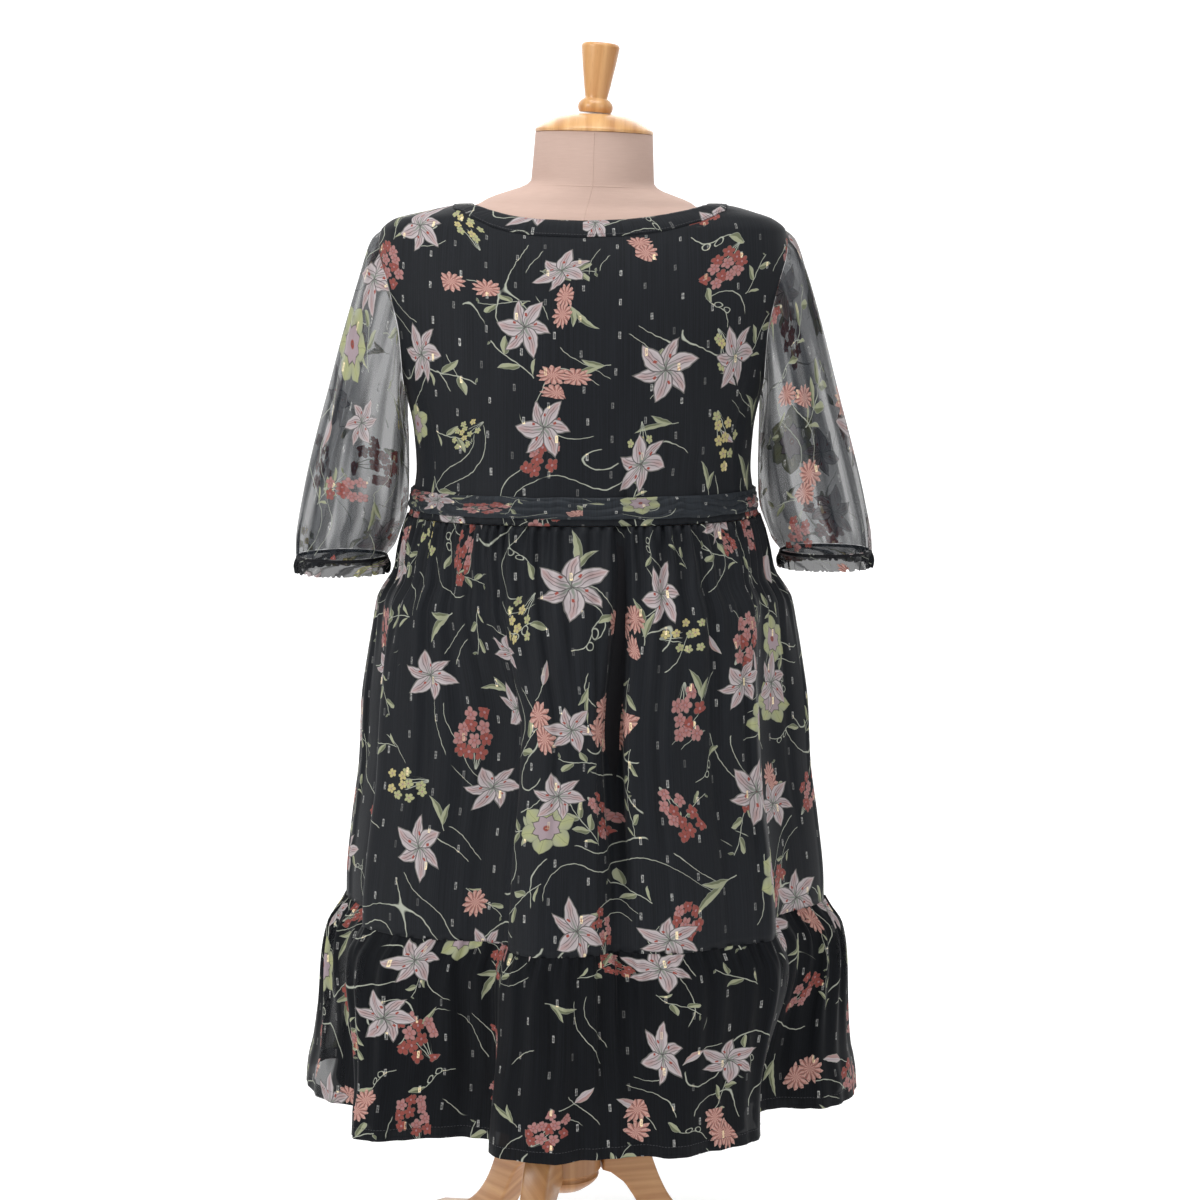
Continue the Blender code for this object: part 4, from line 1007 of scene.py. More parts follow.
# %% The form's linen and its wood
def linen():
    """A plain weave: warp and weft ripple by turns, with slubs, under a faint mottle."""
    material, board, shader = new_material("form_linen_look", 0.88, 0.15, 0.05)
    place = board.add("TexCoord", {}, {}).outputs["Object"]
    axes = board.add("SeparateXYZ", {}, {0: place})
    across, upward = Number(board, axes.outputs[0]), Number(board, axes.outputs[2])
    weave = board.maths("SINE", across * 5200.0) * board.maths("SINE", upward * 5200.0)
    drawn = board.arrows("MULTIPLY", place, (60.0, 60.0, 900.0))
    slub = Number(board, board.noise(drawn, 1.0, 2.0).outputs["Fac"])
    mottle = Number(board, board.noise(place, 26.0, 3.0).outputs["Fac"])
    colour = board.mix(slub, (0.565, 0.405, 0.342), (0.640, 0.475, 0.406))
    colour = board.mix(mottle * 0.4, colour, (0.540, 0.375, 0.312))
    board.plug(shader.inputs["Base Color"], colour)
    bump = board.add("Bump", {}, {"Strength": 0.4, "Distance": 0.0004, "Height": weave * 0.5 + slub})
    board.plug(shader.inputs["Normal"], bump.outputs[0])
    return material


def wood(name, stops):
    """Varnished light wood: grain drawn out along the piece, with darker pores."""
    material, board, shader = new_material(name, 0.35, 0.45)
    shader.inputs["Coat Weight"].default_value = 0.25
    shader.inputs["Coat Roughness"].default_value = 0.20
    grain_map = board.add("UVMap", {"uv_map": "grain"}, {}).outputs[0]
    drawn = board.arrows("MULTIPLY", grain_map, (5.0, 85.0, 1.0))
    rings = Number(board, board.noise(drawn, 1.0, 2.0, "2D", 0.5).outputs["Fac"])
    speckled = board.arrows("MULTIPLY", grain_map, (90.0, 1500.0, 1.0))
    pores = Number(board, board.noise(speckled, 1.0, 1.0).outputs["Fac"])
    colour = board.add("ValToRGB", {"stops": stops}, {0: rings}).outputs[0]
    colour = board.mix(board.soft(pores - 0.60, 0.15) * 0.30, colour, (0.300, 0.140, 0.055))
    board.plug(shader.inputs["Base Color"], colour)
    board.plug(shader.inputs["Roughness"], 0.30 + pores * 0.15)
    bump = board.add("Bump", {}, {"Strength": 0.15, "Distance": 0.0003, "Height": rings + pores * 0.3})
    board.plug(shader.inputs["Normal"], bump.outputs[0])
    return material


def thread():
    """Dark sewing thread: a tight twist with a little shine."""
    material, board, shader = new_material("sewing_thread_look", 0.50, 0.40)
    place = board.add("TexCoord", {}, {}).outputs["Object"]
    twist = Number(board, board.noise(board.arrows("SCALE", place, scale=2600.0), 1.0, 1.0).outputs["Fac"])
    board.plug(shader.inputs["Base Color"], board.mix(twist, (0.010, 0.010, 0.013), (0.055, 0.056, 0.062)))
    bump = board.add("Bump", {}, {"Strength": 0.3, "Distance": 0.0002, "Height": twist})
    board.plug(shader.inputs["Normal"], bump.outputs[0])
    return material


# The second ramp is the same wood drawn darker: painted shade for the pole, the hub and the feet, low down in
# dimmer light.
PALE_WOOD = ((0.25, (0.500, 0.235, 0.082)), (0.50, (0.650, 0.350, 0.138)), (0.75, (0.760, 0.455, 0.200)))
SHADED_WOOD = ((0.25, (0.390, 0.170, 0.058)), (0.50, (0.490, 0.240, 0.092)), (0.75, (0.590, 0.320, 0.135)))
LINEN, THREAD = linen(), thread()
CAP_WOOD, SHADED_STAND_WOOD = wood("cap_wood_look", PALE_WOOD), wood("stand_wood_painted_shade_look", SHADED_WOOD)
print(len(bpy.data.materials), "finishes, with the studio's")

# %% [markdown]
# ## Surfaces
#
# A ring is a squashed circle. Its folds push it sideways, and gathers ripple it along its own level normal.
# The solids have the same surfaces with the widest gathers only, so the finer ones are added here: each has
# its own length and depth, as hand-set gathers have.

# %% Rings, folds and gathers
SKIRT_RADIUS, RUFFLE_RADIUS, BODICE_RADIUS = 0.23, 0.26, 0.19


def on_section(section, turn):
    """A point of a section. The turn is in radians from the centre back, towards +X."""
    exponent = 2.0 / section.squareness
    along = math.cos(turn)
    depth = section.back_depth if along > 0 else section.front_depth
    x = section.half_width * power(math.sin(turn), exponent)
    return Vector((x, -depth * power(along, exponent), section.height))


bodice_sections, skirt_sections, ruffle_sections = Sections(BODICE), Sections(SKIRT), Sections(RUFFLE)
lining_sections, torso_sections = Sections(LINING), Sections(TORSO)
outer_folds = Hang(FOLDS, skirt_sections.at(TIER_SEAM), ruffle_sections.at(HEM))
lining_folds = Hang(LINING_FOLDS, lining_sections.at(TIER_SEAM), lining_sections.at(LINING_HEM))
neck_turns, back_heights, front_heights = zip(*NECKLINE)
back_neckline, front_neckline = Curve(neck_turns, back_heights), Curve(neck_turns, front_heights)
puff_shares, outer_puffs, underarm_puffs = zip(*SLEEVE_PUFF)
outer_puff, underarm_puff = Curve(puff_shares, outer_puffs), Curve(puff_shares, underarm_puffs)


def level_outward(point_at, turn, height, step=0.008):
    along = point_at(turn + step, height) - point_at(turn - step, height)
    return Vector((along.y, -along.x, 0.0)).normalized()


def uneven(turn, detail, seed):
    """A smooth uneven number round a ring, from about -1 to 1, that closes on itself."""
    return 1.6 * noise.noise(Vector((detail * math.cos(turn), detail * math.sin(turn), seed)))


def gathers(turn, count, phase):
    drift = 0.30 * math.sin(3 * turn + phase) + 0.22 * math.sin(7 * turn - phase)
    return math.cos(count * turn + drift)


def fine_gathers(turn, height, seam, seed, size):
    """Small gathers under a seam. Each fades out at its own height."""
    reach = 0.060 + 0.045 * uneven(turn, 13.0, seed)
    fade = eased(seam - reach, seam - 0.003, height)
    depth = size * (1.0 + 0.75 * uneven(turn, 17.0, seed + 5))
    return depth * fade * math.cos(112 * turn + 2.4 * uneven(turn, 4.0, seed + 9))


def hanging_skirt(turn, height):
    share = eased(WAIST, 0.640, height)
    return on_section(skirt_sections.at(height), turn) + outer_folds.at_seam(turn) * share


def hanging_ruffle(turn, height):
    share = eased(TIER_SEAM, HEM, height)
    moved = outer_folds.at_seam(turn) * (1 - share) + outer_folds.at_hem(turn) * share
    return on_section(ruffle_sections.at(height), turn) + moved


def lining_point(turn, height):
    share = eased(0.845, 0.600, height)
    towards_hem = eased(TIER_SEAM, LINING_HEM, height)
    moved = lining_folds.at_seam(turn) * (1 - towards_hem) + lining_folds.at_hem(turn) * towards_hem
    return on_section(lining_sections.at(height), turn) + moved * share


print("the skirt is", round(2 * hanging_skirt(math.pi / 2, TIER_SEAM).x, 3), "m wide at its lower seam")

# %% [markdown]
# ## Creases
#
# A crease is a soft trough in the cloth: it starts at one height, ends at another, and is deepest between.
# Each row places one, in degrees from the centre back. The back's rows follow the photograph. The hidden
# front and sides get similar ones.

# %% Creases
Crease = namedtuple("Crease", "turn top low width depth")
SKIRT_CREASES = (
    Crease(-66, 0.800, 0.450, 7.0, 2.2),
    Crease(-49, 0.862, 0.500, 6.0, 5.2),
    Crease(-41, 0.855, 0.440, 9.0, 2.4),
    Crease(-32, 0.862, 0.620, 6.0, 1.6),
    Crease(-24.5, 0.868, 0.425, 5.0, 7.2),
    Crease(-11, 0.868, 0.520, 5.5, 5.0),
    Crease(-4, 0.862, 0.690, 5.0, 1.5),
    Crease(1.5, 0.800, 0.430, 7.0, -1.6),
    Crease(9.5, 0.878, 0.470, 8.0, 18.0),
    Crease(17, 0.862, 0.600, 5.0, 2.0),
    Crease(21, 0.840, 0.425, 6.0, 5.2),
    Crease(27, 0.862, 0.560, 7.0, 1.8),
    Crease(36, 0.866, 0.430, 7.0, 4.8),
    Crease(46, 0.866, 0.460, 6.0, 6.0),
    Crease(58, 0.800, 0.430, 7.0, 2.0),
    Crease(75, 0.850, 0.520, 7.0, 2.2),
    Crease(96, 0.860, 0.430, 9.0, 2.4),
    Crease(112, 0.856, 0.610, 6.0, 2.0),
    Crease(127, 0.862, 0.450, 8.0, 2.6),
    Crease(141, 0.860, 0.640, 5.5, 1.9),
    Crease(158, 0.858, 0.430, 8.5, 2.6),
    Crease(174, 0.862, 0.560, 6.0, 2.2),
    Crease(-170, 0.850, 0.430, 8.0, 2.6),
    Crease(-153, 0.862, 0.600, 6.0, 1.9),
    Crease(-140, 0.858, 0.430, 8.0, 2.5),
    Crease(-122, 0.862, 0.500, 7.0, 2.2),
    Crease(-104, 0.846, 0.430, 9.0, 2.4),
    Crease(-86, 0.860, 0.570, 6.0, 2.0),
)
RUFFLE_CREASES = (
    Crease(-104, 0.436, 0.222, 8.0, 2.6),
    Crease(-88, 0.430, 0.260, 6.0, 2.2),
    Crease(-60, 0.436, 0.222, 6.0, 2.4),
    Crease(-45, 0.436, 0.290, 6.0, 2.4),
    Crease(-33, 0.436, 0.222, 7.0, 2.6),
    Crease(-20, 0.434, 0.300, 5.0, 2.2),
    Crease(-9, 0.436, 0.222, 7.0, 2.8),
    Crease(3, 0.436, 0.270, 5.5, 2.2),
    Crease(12, 0.436, 0.222, 6.0, 3.0),
    Crease(24, 0.434, 0.310, 5.0, 2.2),
    Crease(33, 0.436, 0.222, 7.0, 2.6),
    Crease(44, 0.436, 0.250, 6.0, 2.4),
    Crease(72, 0.430, 0.222, 7.0, 2.4),
    Crease(92, 0.436, 0.270, 6.0, 2.2),
    Crease(108, 0.436, 0.222, 8.0, 2.6),
    Crease(124, 0.434, 0.300, 5.5, 2.2),
    Crease(143, 0.436, 0.222, 8.0, 2.8),
    Crease(165, 0.436, 0.280, 6.0, 2.4),
    Crease(-176, 0.436, 0.222, 8.0, 2.6),
    Crease(-158, 0.434, 0.300, 5.5, 2.2),
    Crease(-141, 0.436, 0.222, 8.0, 2.8),
    Crease(-124, 0.430, 0.260, 6.0, 2.4),
)
BODICE_CREASES = (
    Crease(11.5, 0.935, 0.862, 4.5, 6.0),
    Crease(-17, 0.905, 0.862, 5.0, 1.8),
    Crease(-38, 0.960, 0.868, 8.0, 2.0),
    Crease(38, 0.955, 0.866, 8.0, 2.0),
    Crease(-60, 1.010, 0.880, 9.0, 2.2),
    Crease(61, 1.015, 0.880, 9.0, 2.2),
    Crease(0, 1.150, 0.900, 12.0, 0.8),
    Crease(-27, 1.140, 0.930, 12.0, 0.9),
    Crease(25, 1.150, 0.920, 13.0, 0.9),
    Crease(122, 0.960, 0.866, 8.0, 2.2),
    Crease(-124, 0.965, 0.866, 8.0, 2.2),
    Crease(152, 0.930, 0.864, 6.0, 2.2),
    Crease(-149, 0.925, 0.864, 6.0, 2.0),
    Crease(178, 0.915, 0.864, 5.0, 1.8),
)


def creased(rows, turn, height, radius):
    """How far the creases pull the cloth in at a point."""
    total = 0.0
    for row in rows:
        away = (math.degrees(turn) - row.turn + 180) % 360 - 180
        across = math.radians(away) * radius * 1000 / row.width
        if abs(across) < 3 and row.low < height < row.top:
            share = (height - row.low) / (row.top - row.low)
            total += row.depth * math.exp(-across * across) * math.sin(math.pi * share) ** 0.6
    return total / 1000


def skirt_point(turn, height):
    wide = 0.0010 + 0.0014 * eased(WAIST, 0.845, height)
    wide = wide * eased(0.680 + 0.07 * uneven(turn, 8, 2), 0.815, height)
    wave = wide * (1 + 0.8 * uneven(turn, 9.0, 1.0)) * gathers(turn, TIER_GATHERS, 1.0)
    wave += fine_gathers(turn, height, WAIST, 4.0, 0.0021)
    wave -= creased(SKIRT_CREASES, turn, height, SKIRT_RADIUS)
    return hanging_skirt(turn, height) + level_outward(hanging_skirt, turn, height) * (WALL + wave)


def ruffle_point(turn, height):
    wide = 0.0006 + 0.0020 * eased(TIER_SEAM, 0.405, height)
    wave = wide * (0.30 + 0.70 * eased(0.240, 0.390, height)) * (1 + 0.6 * uneven(turn, 9.0, 6.0))
    wave = wave * gathers(turn, TIER_GATHERS, 2.4) + fine_gathers(turn, height, TIER_SEAM, 8.0, 0.0016)
    wave -= 0.0008 * eased(0.4335, 0.4372, height)
    wave -= creased(RUFFLE_CREASES, turn, height, RUFFLE_RADIUS)
    wave += 0.0012 * uneven(turn, 22.0, 3.0) * eased(0.300, HEM, height)
    return hanging_ruffle(turn, height) + level_outward(hanging_ruffle, turn, height) * (WALL + wave)


print(len(SKIRT_CREASES) + len(RUFFLE_CREASES) + len(BODICE_CREASES), "creases")

# %% [markdown]
# ## One way to make every cloth piece
#
# A cloth piece is a flat grid whose points are moved onto a surface, as cloth is laid on a form. The grid's
# lengths along the surface, measured after the move, give the flat pattern, which becomes the UV map in
# metres. The print and the weave are drawn on that map, so they are as wide on every piece as on the bolt.
# A Solidify modifier gives the opaque cloth its thickness, and the sheer cloth stays a single skin.

# %% Laying cloth on a surface
CLOTH_THICKNESS = 0.0004


def lay_flat(grid, cut_row):
    """Each point's place in the flat pattern, its widths measured along every row or along one for all."""
    middle = len(grid[0]) // 2
    widths = []
    for row in grid if cut_row is None else [grid[cut_row]]:
        steps = [0.0]
        for a, b in zip(row, row[1:]):
            steps.append(steps[-1] + (b - a).length)
        widths.append([step - steps[middle] for step in steps])
    heights = [0.0]
    for low, high in zip(grid, grid[1:]):
        heights.append(heights[-1] + sum((b - a).length for a, b in zip(low, high)) / len(low))
    return lambda i, j: (widths[i if cut_row is None else 0][j], heights[i])


def lay_cloth(name, columns, rows, place, material, nodes, closed=False, cut_row=None,
              bolt=(0, 0, 1), backing=None):
    """A shell of cloth. place(across, up) gives a point for shares from 0 to 1. The bolt says where on the
    printed cloth the piece is cut, in metres, and how far the print is squashed upwards. backing(across, up)
    is 1 where a lining lies close behind the cloth."""
    points = [[place(j / columns, i / rows) for j in range(columns + 1)] for i in range(rows + 1)]
    flat = lay_flat(points, cut_row)
    shape = bmesh.new()
    bmesh.ops.create_grid(shape, x_segments=columns, y_segments=rows, size=0.5)
    cut = shape.loops.layers.uv.new("cut")
    backed = shape.verts.layers.float.new("backed")
    cells = {}
    for corner in shape.verts:
        cells[corner] = (round((corner.co.y + 0.5) * rows), round((corner.co.x + 0.5) * columns))
    for face in shape.faces:
        for loop in face.loops:
            u, v = flat(*cells[loop.vert])
            loop[cut].uv = (bolt[0] + u, bolt[1] + v * bolt[2])
    for corner, (i, j) in cells.items():
        corner.co = points[i][j] + AXIS
        corner[backed] = backing(j / columns, i / rows) if backing else 0.0
    pattern = sum(abs((flat(i + 1, j)[1] - flat(i, j)[1]) * (flat(i, j + 1)[0] - flat(i, j)[0]))
                  for i in range(rows) for j in range(columns))
    if closed:
        bmesh.ops.remove_doubles(shape, verts=shape.verts, dist=0.00002)
    middle = sum((corner.co for corner in shape.verts), Vector()) / len(shape.verts)
    shape.normal_update()
    if sum(face.normal.dot(face.calc_center_median() - middle) for face in shape.faces) < 0:
        bmesh.ops.reverse_faces(shape, faces=shape.faces)
    piece = finish_piece(name, shape, material, nodes)
    if material.name.startswith("printed"):
        wall = piece.modifiers.new("cloth_thickness", "SOLIDIFY")
        wall.thickness, wall.offset = CLOTH_THICKNESS, -1.0
    width = max(flat(i, columns)[0] - flat(i, 0)[0] for i in (0, rows // 2, rows))
    length = flat(rows, 0)[1]
    min(pattern, width * length)
    print(name, "is cut", round(width, 3), "x", round(length, 3), "m,", len(piece.data.polygons), "faces")
    return piece


def finish_piece(name, shape, material, nodes=()):
    mesh = bpy.data.meshes.new(name)
    shape.to_mesh(mesh)
    shape.free()
    mesh.shade_smooth()
    mesh.materials.append(material)
    piece = bpy.data.objects.new(name, mesh)
    bpy.context.scene.collection.objects.link(piece)
    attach(piece, "root")
    if nodes:
        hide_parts(*nodes)
    return piece


# %% Sewing
def sew(name, path, outward, material, pitch=0.0030, length=0.0021, width=0.00055, rise=0.00030):
    """A row of stitches, all joined in one mesh. path(share) and outward(share) give the seam's points."""
    steps = 720
    points = [path(i / steps) for i in range(steps + 1)]
    travelled = [0.0]
    for a, b in zip(points, points[1:]):
        travelled.append(travelled[-1] + (b - a).length)
    count = int(travelled[-1] / pitch)
    shape = bmesh.new()
    for k in range(count):
        where = (k + 0.5) * pitch
        i = min(bisect.bisect_right(travelled, where) - 1, steps - 1)
        share = (i + (where - travelled[i]) / (travelled[i + 1] - travelled[i])) / steps
        along = (points[i + 1] - points[i]).normalized()
        out = outward(share)
        up = out.cross(along).normalized()
        middle = path(share) + AXIS
        ring = []
        for end, flat in ((-1, 0.35), (0, 1.0), (1, 0.35)):
            base = middle + along * end * length / 2
            ring.append([shape.verts.new(base + up * side * width / 2 + out * rise * high)
                         for side, high in ((-1, 0.0), (-0.6, flat), (0.6, flat), (1, 0.0))])
        for low, high in zip(ring, ring[1:]):
            for a in range(3):
                shape.faces.new((low[a], low[a + 1], high[a + 1], high[a]))
    bmesh.ops.recalc_face_normals(shape, faces=shape.faces)
    return finish_piece(name, shape, material)


def cord(name, path, outward, material, width=0.0011, rise=0.0004, steps=160, closed=False):
    """A low, half-round ridge that follows a seam."""
    shape = bmesh.new()
    rings = []
    for i in range(steps + (0 if closed else 1)):
        share = i / steps
        along = (path(min(1.0, share + 0.002)) - path(max(0.0, share - 0.002))).normalized()
        out = outward(share)
        up = out.cross(along).normalized()
        ring = []
        for k in range(5):
            bend = math.pi * k / 4
            off = up * math.cos(bend) * width / 2 + out * math.sin(bend) * rise
            ring.append(shape.verts.new(path(share) + AXIS + off))
        rings.append(ring)
    for low, high in zip(rings, rings[1:] + (rings[:1] if closed else [])):
        for a in range(4):
            shape.faces.new((low[a], low[a + 1], high[a + 1], high[a]))
    bmesh.ops.recalc_face_normals(shape, faces=shape.faces)
    return finish_piece(name, shape, material)

# %% [markdown]
# ## Bodice, neck band and belt
#
# Each bodice panel runs from the waist to the neckline, and its sides follow the side seam, the armhole and
# the shoulder seam in turn. The band round the neck lies smooth. The belt is a soft strip that bunches into a
# few level wrinkles.

# %% The bodice
def bodice_point(turn, height):
    shift = NECK_SHIFT * eased(1.174, 1.190, height)
    return on_section(bodice_sections.at(height), turn) + Vector((shift, 0, 0))


def bodice_outward(turn, height):
    across = bodice_point(turn + 0.03, height) - bodice_point(turn - 0.03, height)
    upward = bodice_point(turn, height + 0.0008) - bodice_point(turn, height - 0.0008)
    return across.cross(upward).normalized()


def neck_height(turn):
    degrees = math.degrees(math.asin(min(1.0, abs(math.sin(turn)))))
    return (back_neckline if math.cos(turn) > 0 else front_neckline).at(degrees)


def band_drop(turn):
    """How much lower the neck band's seam is than the neckline at the same turn."""
    height = neck_height(turn)
    top = bodice_point(turn, height)
    before, after = turn - 0.02, turn + 0.02
    along = (bodice_point(after, neck_height(after)) - bodice_point(before, neck_height(before))).normalized()
    low, high = 0.0, 0.035
    for _ in range(14):
        drop = 0.5 * (low + high)
        if (top - bodice_point(turn, height - drop)).cross(along).length < BAND_WIDTH:
            low = drop
        else:
            high = drop
    return drop


def armhole_turn(side_height, centre):
    edge = math.pi / 2
    share = (side_height - UNDERARM) / (SHOULDER - UNDERARM)
    if not 0 < share < 1:
        return edge
    scoop = math.radians(26 if centre == 0 else 31)
    return edge - scoop * math.sin(math.pi * share) ** 0.8


SIDE_TOP = neck_height(math.pi / 2) - band_drop(math.pi / 2)
SHOULDER_SHARE = 0.74
drops = {}


def row_height(turn, side_height):
    """The height of a bodice row at a turn: rows follow the waist below and the neckline above."""
    key = round(turn, 4)
    if key not in drops:
        drops[key] = neck_height(turn) - band_drop(turn) - WAIST
    return WAIST + (side_height - WAIST) / (SIDE_TOP - WAIST) * drops[key]


def bodice_place(centre):
    def place(across, up):
        if up < SHOULDER_SHARE:
            side_height = WAIST + (SHOULDER - WAIST) * up / SHOULDER_SHARE
        else:
            side_height = SHOULDER + (SIDE_TOP - SHOULDER) * (up - SHOULDER_SHARE) / (1 - SHOULDER_SHARE)
        edge = armhole_turn(side_height, centre)
        turn = centre + edge * (2 * across - 1)
        height = row_height(turn, side_height)
        pull = creased(BODICE_CREASES, turn, height, BODICE_RADIUS)
        pull -= 0.0007 * (1 - eased(WAIST, 0.900, height)) * math.cos(70 * turn + 2 * uneven(turn, 5.0, 2.0))
        return bodice_point(turn, height) + bodice_outward(turn, height) * (WALL - pull)

    return place


for side, centre, bolt in (("back", 0.0, (0.05, 0.31, 1)), ("front", math.pi, (1.40, 2.20, 1))):
    lay_cloth(f"bodice_{side}_cloth", 130, 84, bodice_place(centre), PRINTED,
              [f"bodice_{side}"], bolt=bolt)


# %% The neck band and the belt
def band_place(across, up):
    turn = 2 * math.pi * across
    seam = neck_height(turn) - band_drop(turn) * 1.06
    height = seam + up * (neck_height(turn) - seam)
    rise = 0.0002 + 0.0009 * math.sin(math.pi * min(1.0, 0.06 + 0.94 * up)) ** 0.5
    rise += 0.00025 * uneven(turn, 30.0, 4.0 + 2 * up)
    return bodice_point(turn, height) + bodice_outward(turn, height) * (WALL + rise - 0.0006 * (up > 0.97))


def belt_place(across, up):
    turn = 2 * math.pi * across
    low = BELT_LOW - 0.0006 + 0.0007 * uneven(turn, 7.0, 1.0)
    high = BELT_HIGH + 0.0006 + 0.0007 * uneven(turn, 6.0, 3.0)
    wrinkle = up * 3.2 + 0.75 * uneven(turn, 4.0, 6.0) + 0.22 * uneven(turn, 15.0, 8.0)
    out = 0.0007 + 0.0024 * abs(math.cos(math.pi * wrinkle)) * (0.75 + 0.35 * uneven(turn, 9.0, 5 * up))
    out += 0.0004 * uneven(turn, 34.0, 3 * up)
    out *= min(1.0, 9 * up + 0.1, 9 * (1 - up) + 0.1)
    height = low + up * (high - low)
    return bodice_point(turn, height) + bodice_outward(turn, height) * (WALL + BELT_CLEAR + out)


lay_cloth("neck_band_cloth", 300, 10, band_place, PRINTED, ["neck_band"],
          closed=True, cut_row=5, bolt=(0.63, 1.17, 1))
lay_cloth("waist_belt_cloth", 420, 26, belt_place, BELT_CLOTH, ["waist_belt"],
          closed=True, cut_row=13, bolt=(2.30, 0.44, 2.6))


def band_stitch_path(share):
    return band_place(share, 0.14)


def band_outward(share):
    turn = 2 * math.pi * share
    return bodice_outward(turn, neck_height(turn) - 0.5 * band_drop(turn))


sew("neck_band_stitches", band_stitch_path, band_outward, THREAD)

# %% [markdown]
# ## Skirt, lower tier and lining
#
# Both tiers are half rings, seamed at the sides. The lower tier's hem is turned up twice, so a second strip
# of cloth lies inside it: where the cloth is seen against the light, that strip shows as a darker line.

# %% The two tiers and the lining
CLOSE_BEHIND, WELL_CLEAR = 0.030, 0.050
TURN_UP, HEM_SEAM, TURNED_IN = 0.0135, 0.0122, 0.0009


def tier_place(point_at, top, low, centre):
    def place(across, up):
        return point_at(centre + math.pi * (across - 0.5), low + up * (top - low))

    return place


def lined_tier(centre):
    """1 where the lining hangs close behind the lower tier, and 0 where the tier stands well clear of it."""
    def backing(across, up):
        turn, height = centre + math.pi * (across - 0.5), HEM + up * (RUFFLE_TOP - HEM)
        gap = (ruffle_point(turn, height) - lining_point(turn, max(height, LINING_HEM))).length
        return 1 - eased(CLOSE_BEHIND, WELL_CLEAR, gap)

    return backing


for side, centre, bolt in (("back", 0.0, (0.46, 3.35, 1)), ("front", math.pi, (5.12, 0.83, 1))):
    lay_cloth(f"skirt_{side}_cloth", 400, 52, tier_place(skirt_point, SKIRT_TOP, SKIRT_LOW, centre), PRINTED,
              [f"skirt_{side}"], cut_row=0, bolt=bolt)
    lay_cloth(f"ruffle_{side}_cloth", 400, 36, tier_place(ruffle_point, RUFFLE_TOP, HEM, centre), TIER_CLOTH,
              [f"ruffle_{side}"], cut_row=0, bolt=(bolt[1], bolt[0] + 2.7, 1),
              backing=lined_tier(centre))


def turned_up(turn, height):
    """The hem's turned-up strip, just inside the tier's own cloth."""
    return ruffle_point(turn, height) - level_outward(hanging_ruffle, turn, height) * TURNED_IN


for side, centre in (("back", 0.0), ("front", math.pi)):
    lay_cloth(f"hem_{side}", 400, 4, tier_place(turned_up, HEM + TURN_UP, HEM + 0.0005, centre), GATHERED,
              [], cut_row=0, bolt=(7.1, centre, 1))


def hem_stitch_path(share):
    return ruffle_point(2 * math.pi * share, HEM + HEM_SEAM)


def hem_outward(share):
    return level_outward(hanging_ruffle, 2 * math.pi * share, HEM + HEM_SEAM)


sew("hem_stitches", hem_stitch_path, hem_outward, THREAD, pitch=0.0034)


def lining_place(across, up):
    turn, height = 2 * math.pi * across, LINING_HEM + up * (LINING_TOP - LINING_HEM)
    wave = 0.0010 * eased(0.60, 0.84, height) * math.cos(48 * turn)
    return lining_point(turn, height) + level_outward(lining_point, turn, height) * (0.0012 + wave)


lay_cloth("skirt_lining_cloth", 256, 36, lining_place, LINING_CLOTH, ["skirt_lining"],
          closed=True, cut_row=0)

# %% [markdown]
# ## Sleeves and cuffs
#
# A sleeve starts at the armhole's edge, puffs out, and is gathered into an elastic cuff. Its cloth isn't
# lined, so the light shows every layer: long soft folds run down it, and they are what makes it read as
# sheer.

# %% The armhole, as the sleeve's first ring
ARMHOLE_STEPS, CUFF_PUCKERS = 30, 30


def armhole_edge(side):
    """Round the armhole: each corner's point, the way out of the bodice and the way out of its panel."""
    heights = [UNDERARM + (SHOULDER - UNDERARM) * i / ARMHOLE_STEPS for i in range(ARMHOLE_STEPS + 1)]
    corners = []
    for side_height, centre in [(h, 0.0) for h in heights] + [(h, math.pi) for h in heights[-2:0:-1]]:
        edge = armhole_turn(side_height, centre)
        turn = side * edge if centre == 0 else math.pi - side * edge
        height = row_height(turn, side_height)
        outward = bodice_outward(turn, height)
        corners.append((bodice_point(turn, height) + outward * WALL, outward))
    edges = []
    for i, (point, outward) in enumerate(corners):
        along = corners[(i + 1) % len(corners)][0] - corners[i - 1][0]
        edges.append((point, outward, along.cross(outward).normalized() * side))
    return edges


def sleeve_start(side):
    """The sleeve's first ring, evenly spaced from the underarm round by the back."""
    edges = armhole_edge(side)
    count = len(edges)

    def at(share):
        place = (share % 1.0) * count
        i = int(place)
        here, after = edges[i % count], edges[(i + 1) % count]
        point, outward, away = (a.lerp(b, place - i) for a, b in zip(here, after))
        underarm = 0.5 * (1 + math.cos(2 * math.pi * share))
        bend = math.radians(42 + 122 * underarm**1.2)
        return point + away * (max(0.0, math.sin(bend)) * WALL - 0.0010) + outward * (0.0003 + GAP * underarm)

    return at


def cuff_ring_point(cuff, turn, rise, out):
    x = cuff.centre - math.cos(turn) * (cuff.half_width + out)
    return Vector((cuff.side * x, -math.sin(turn) * (CUFF_HALF_DEPTH + out), cuff.low + rise))


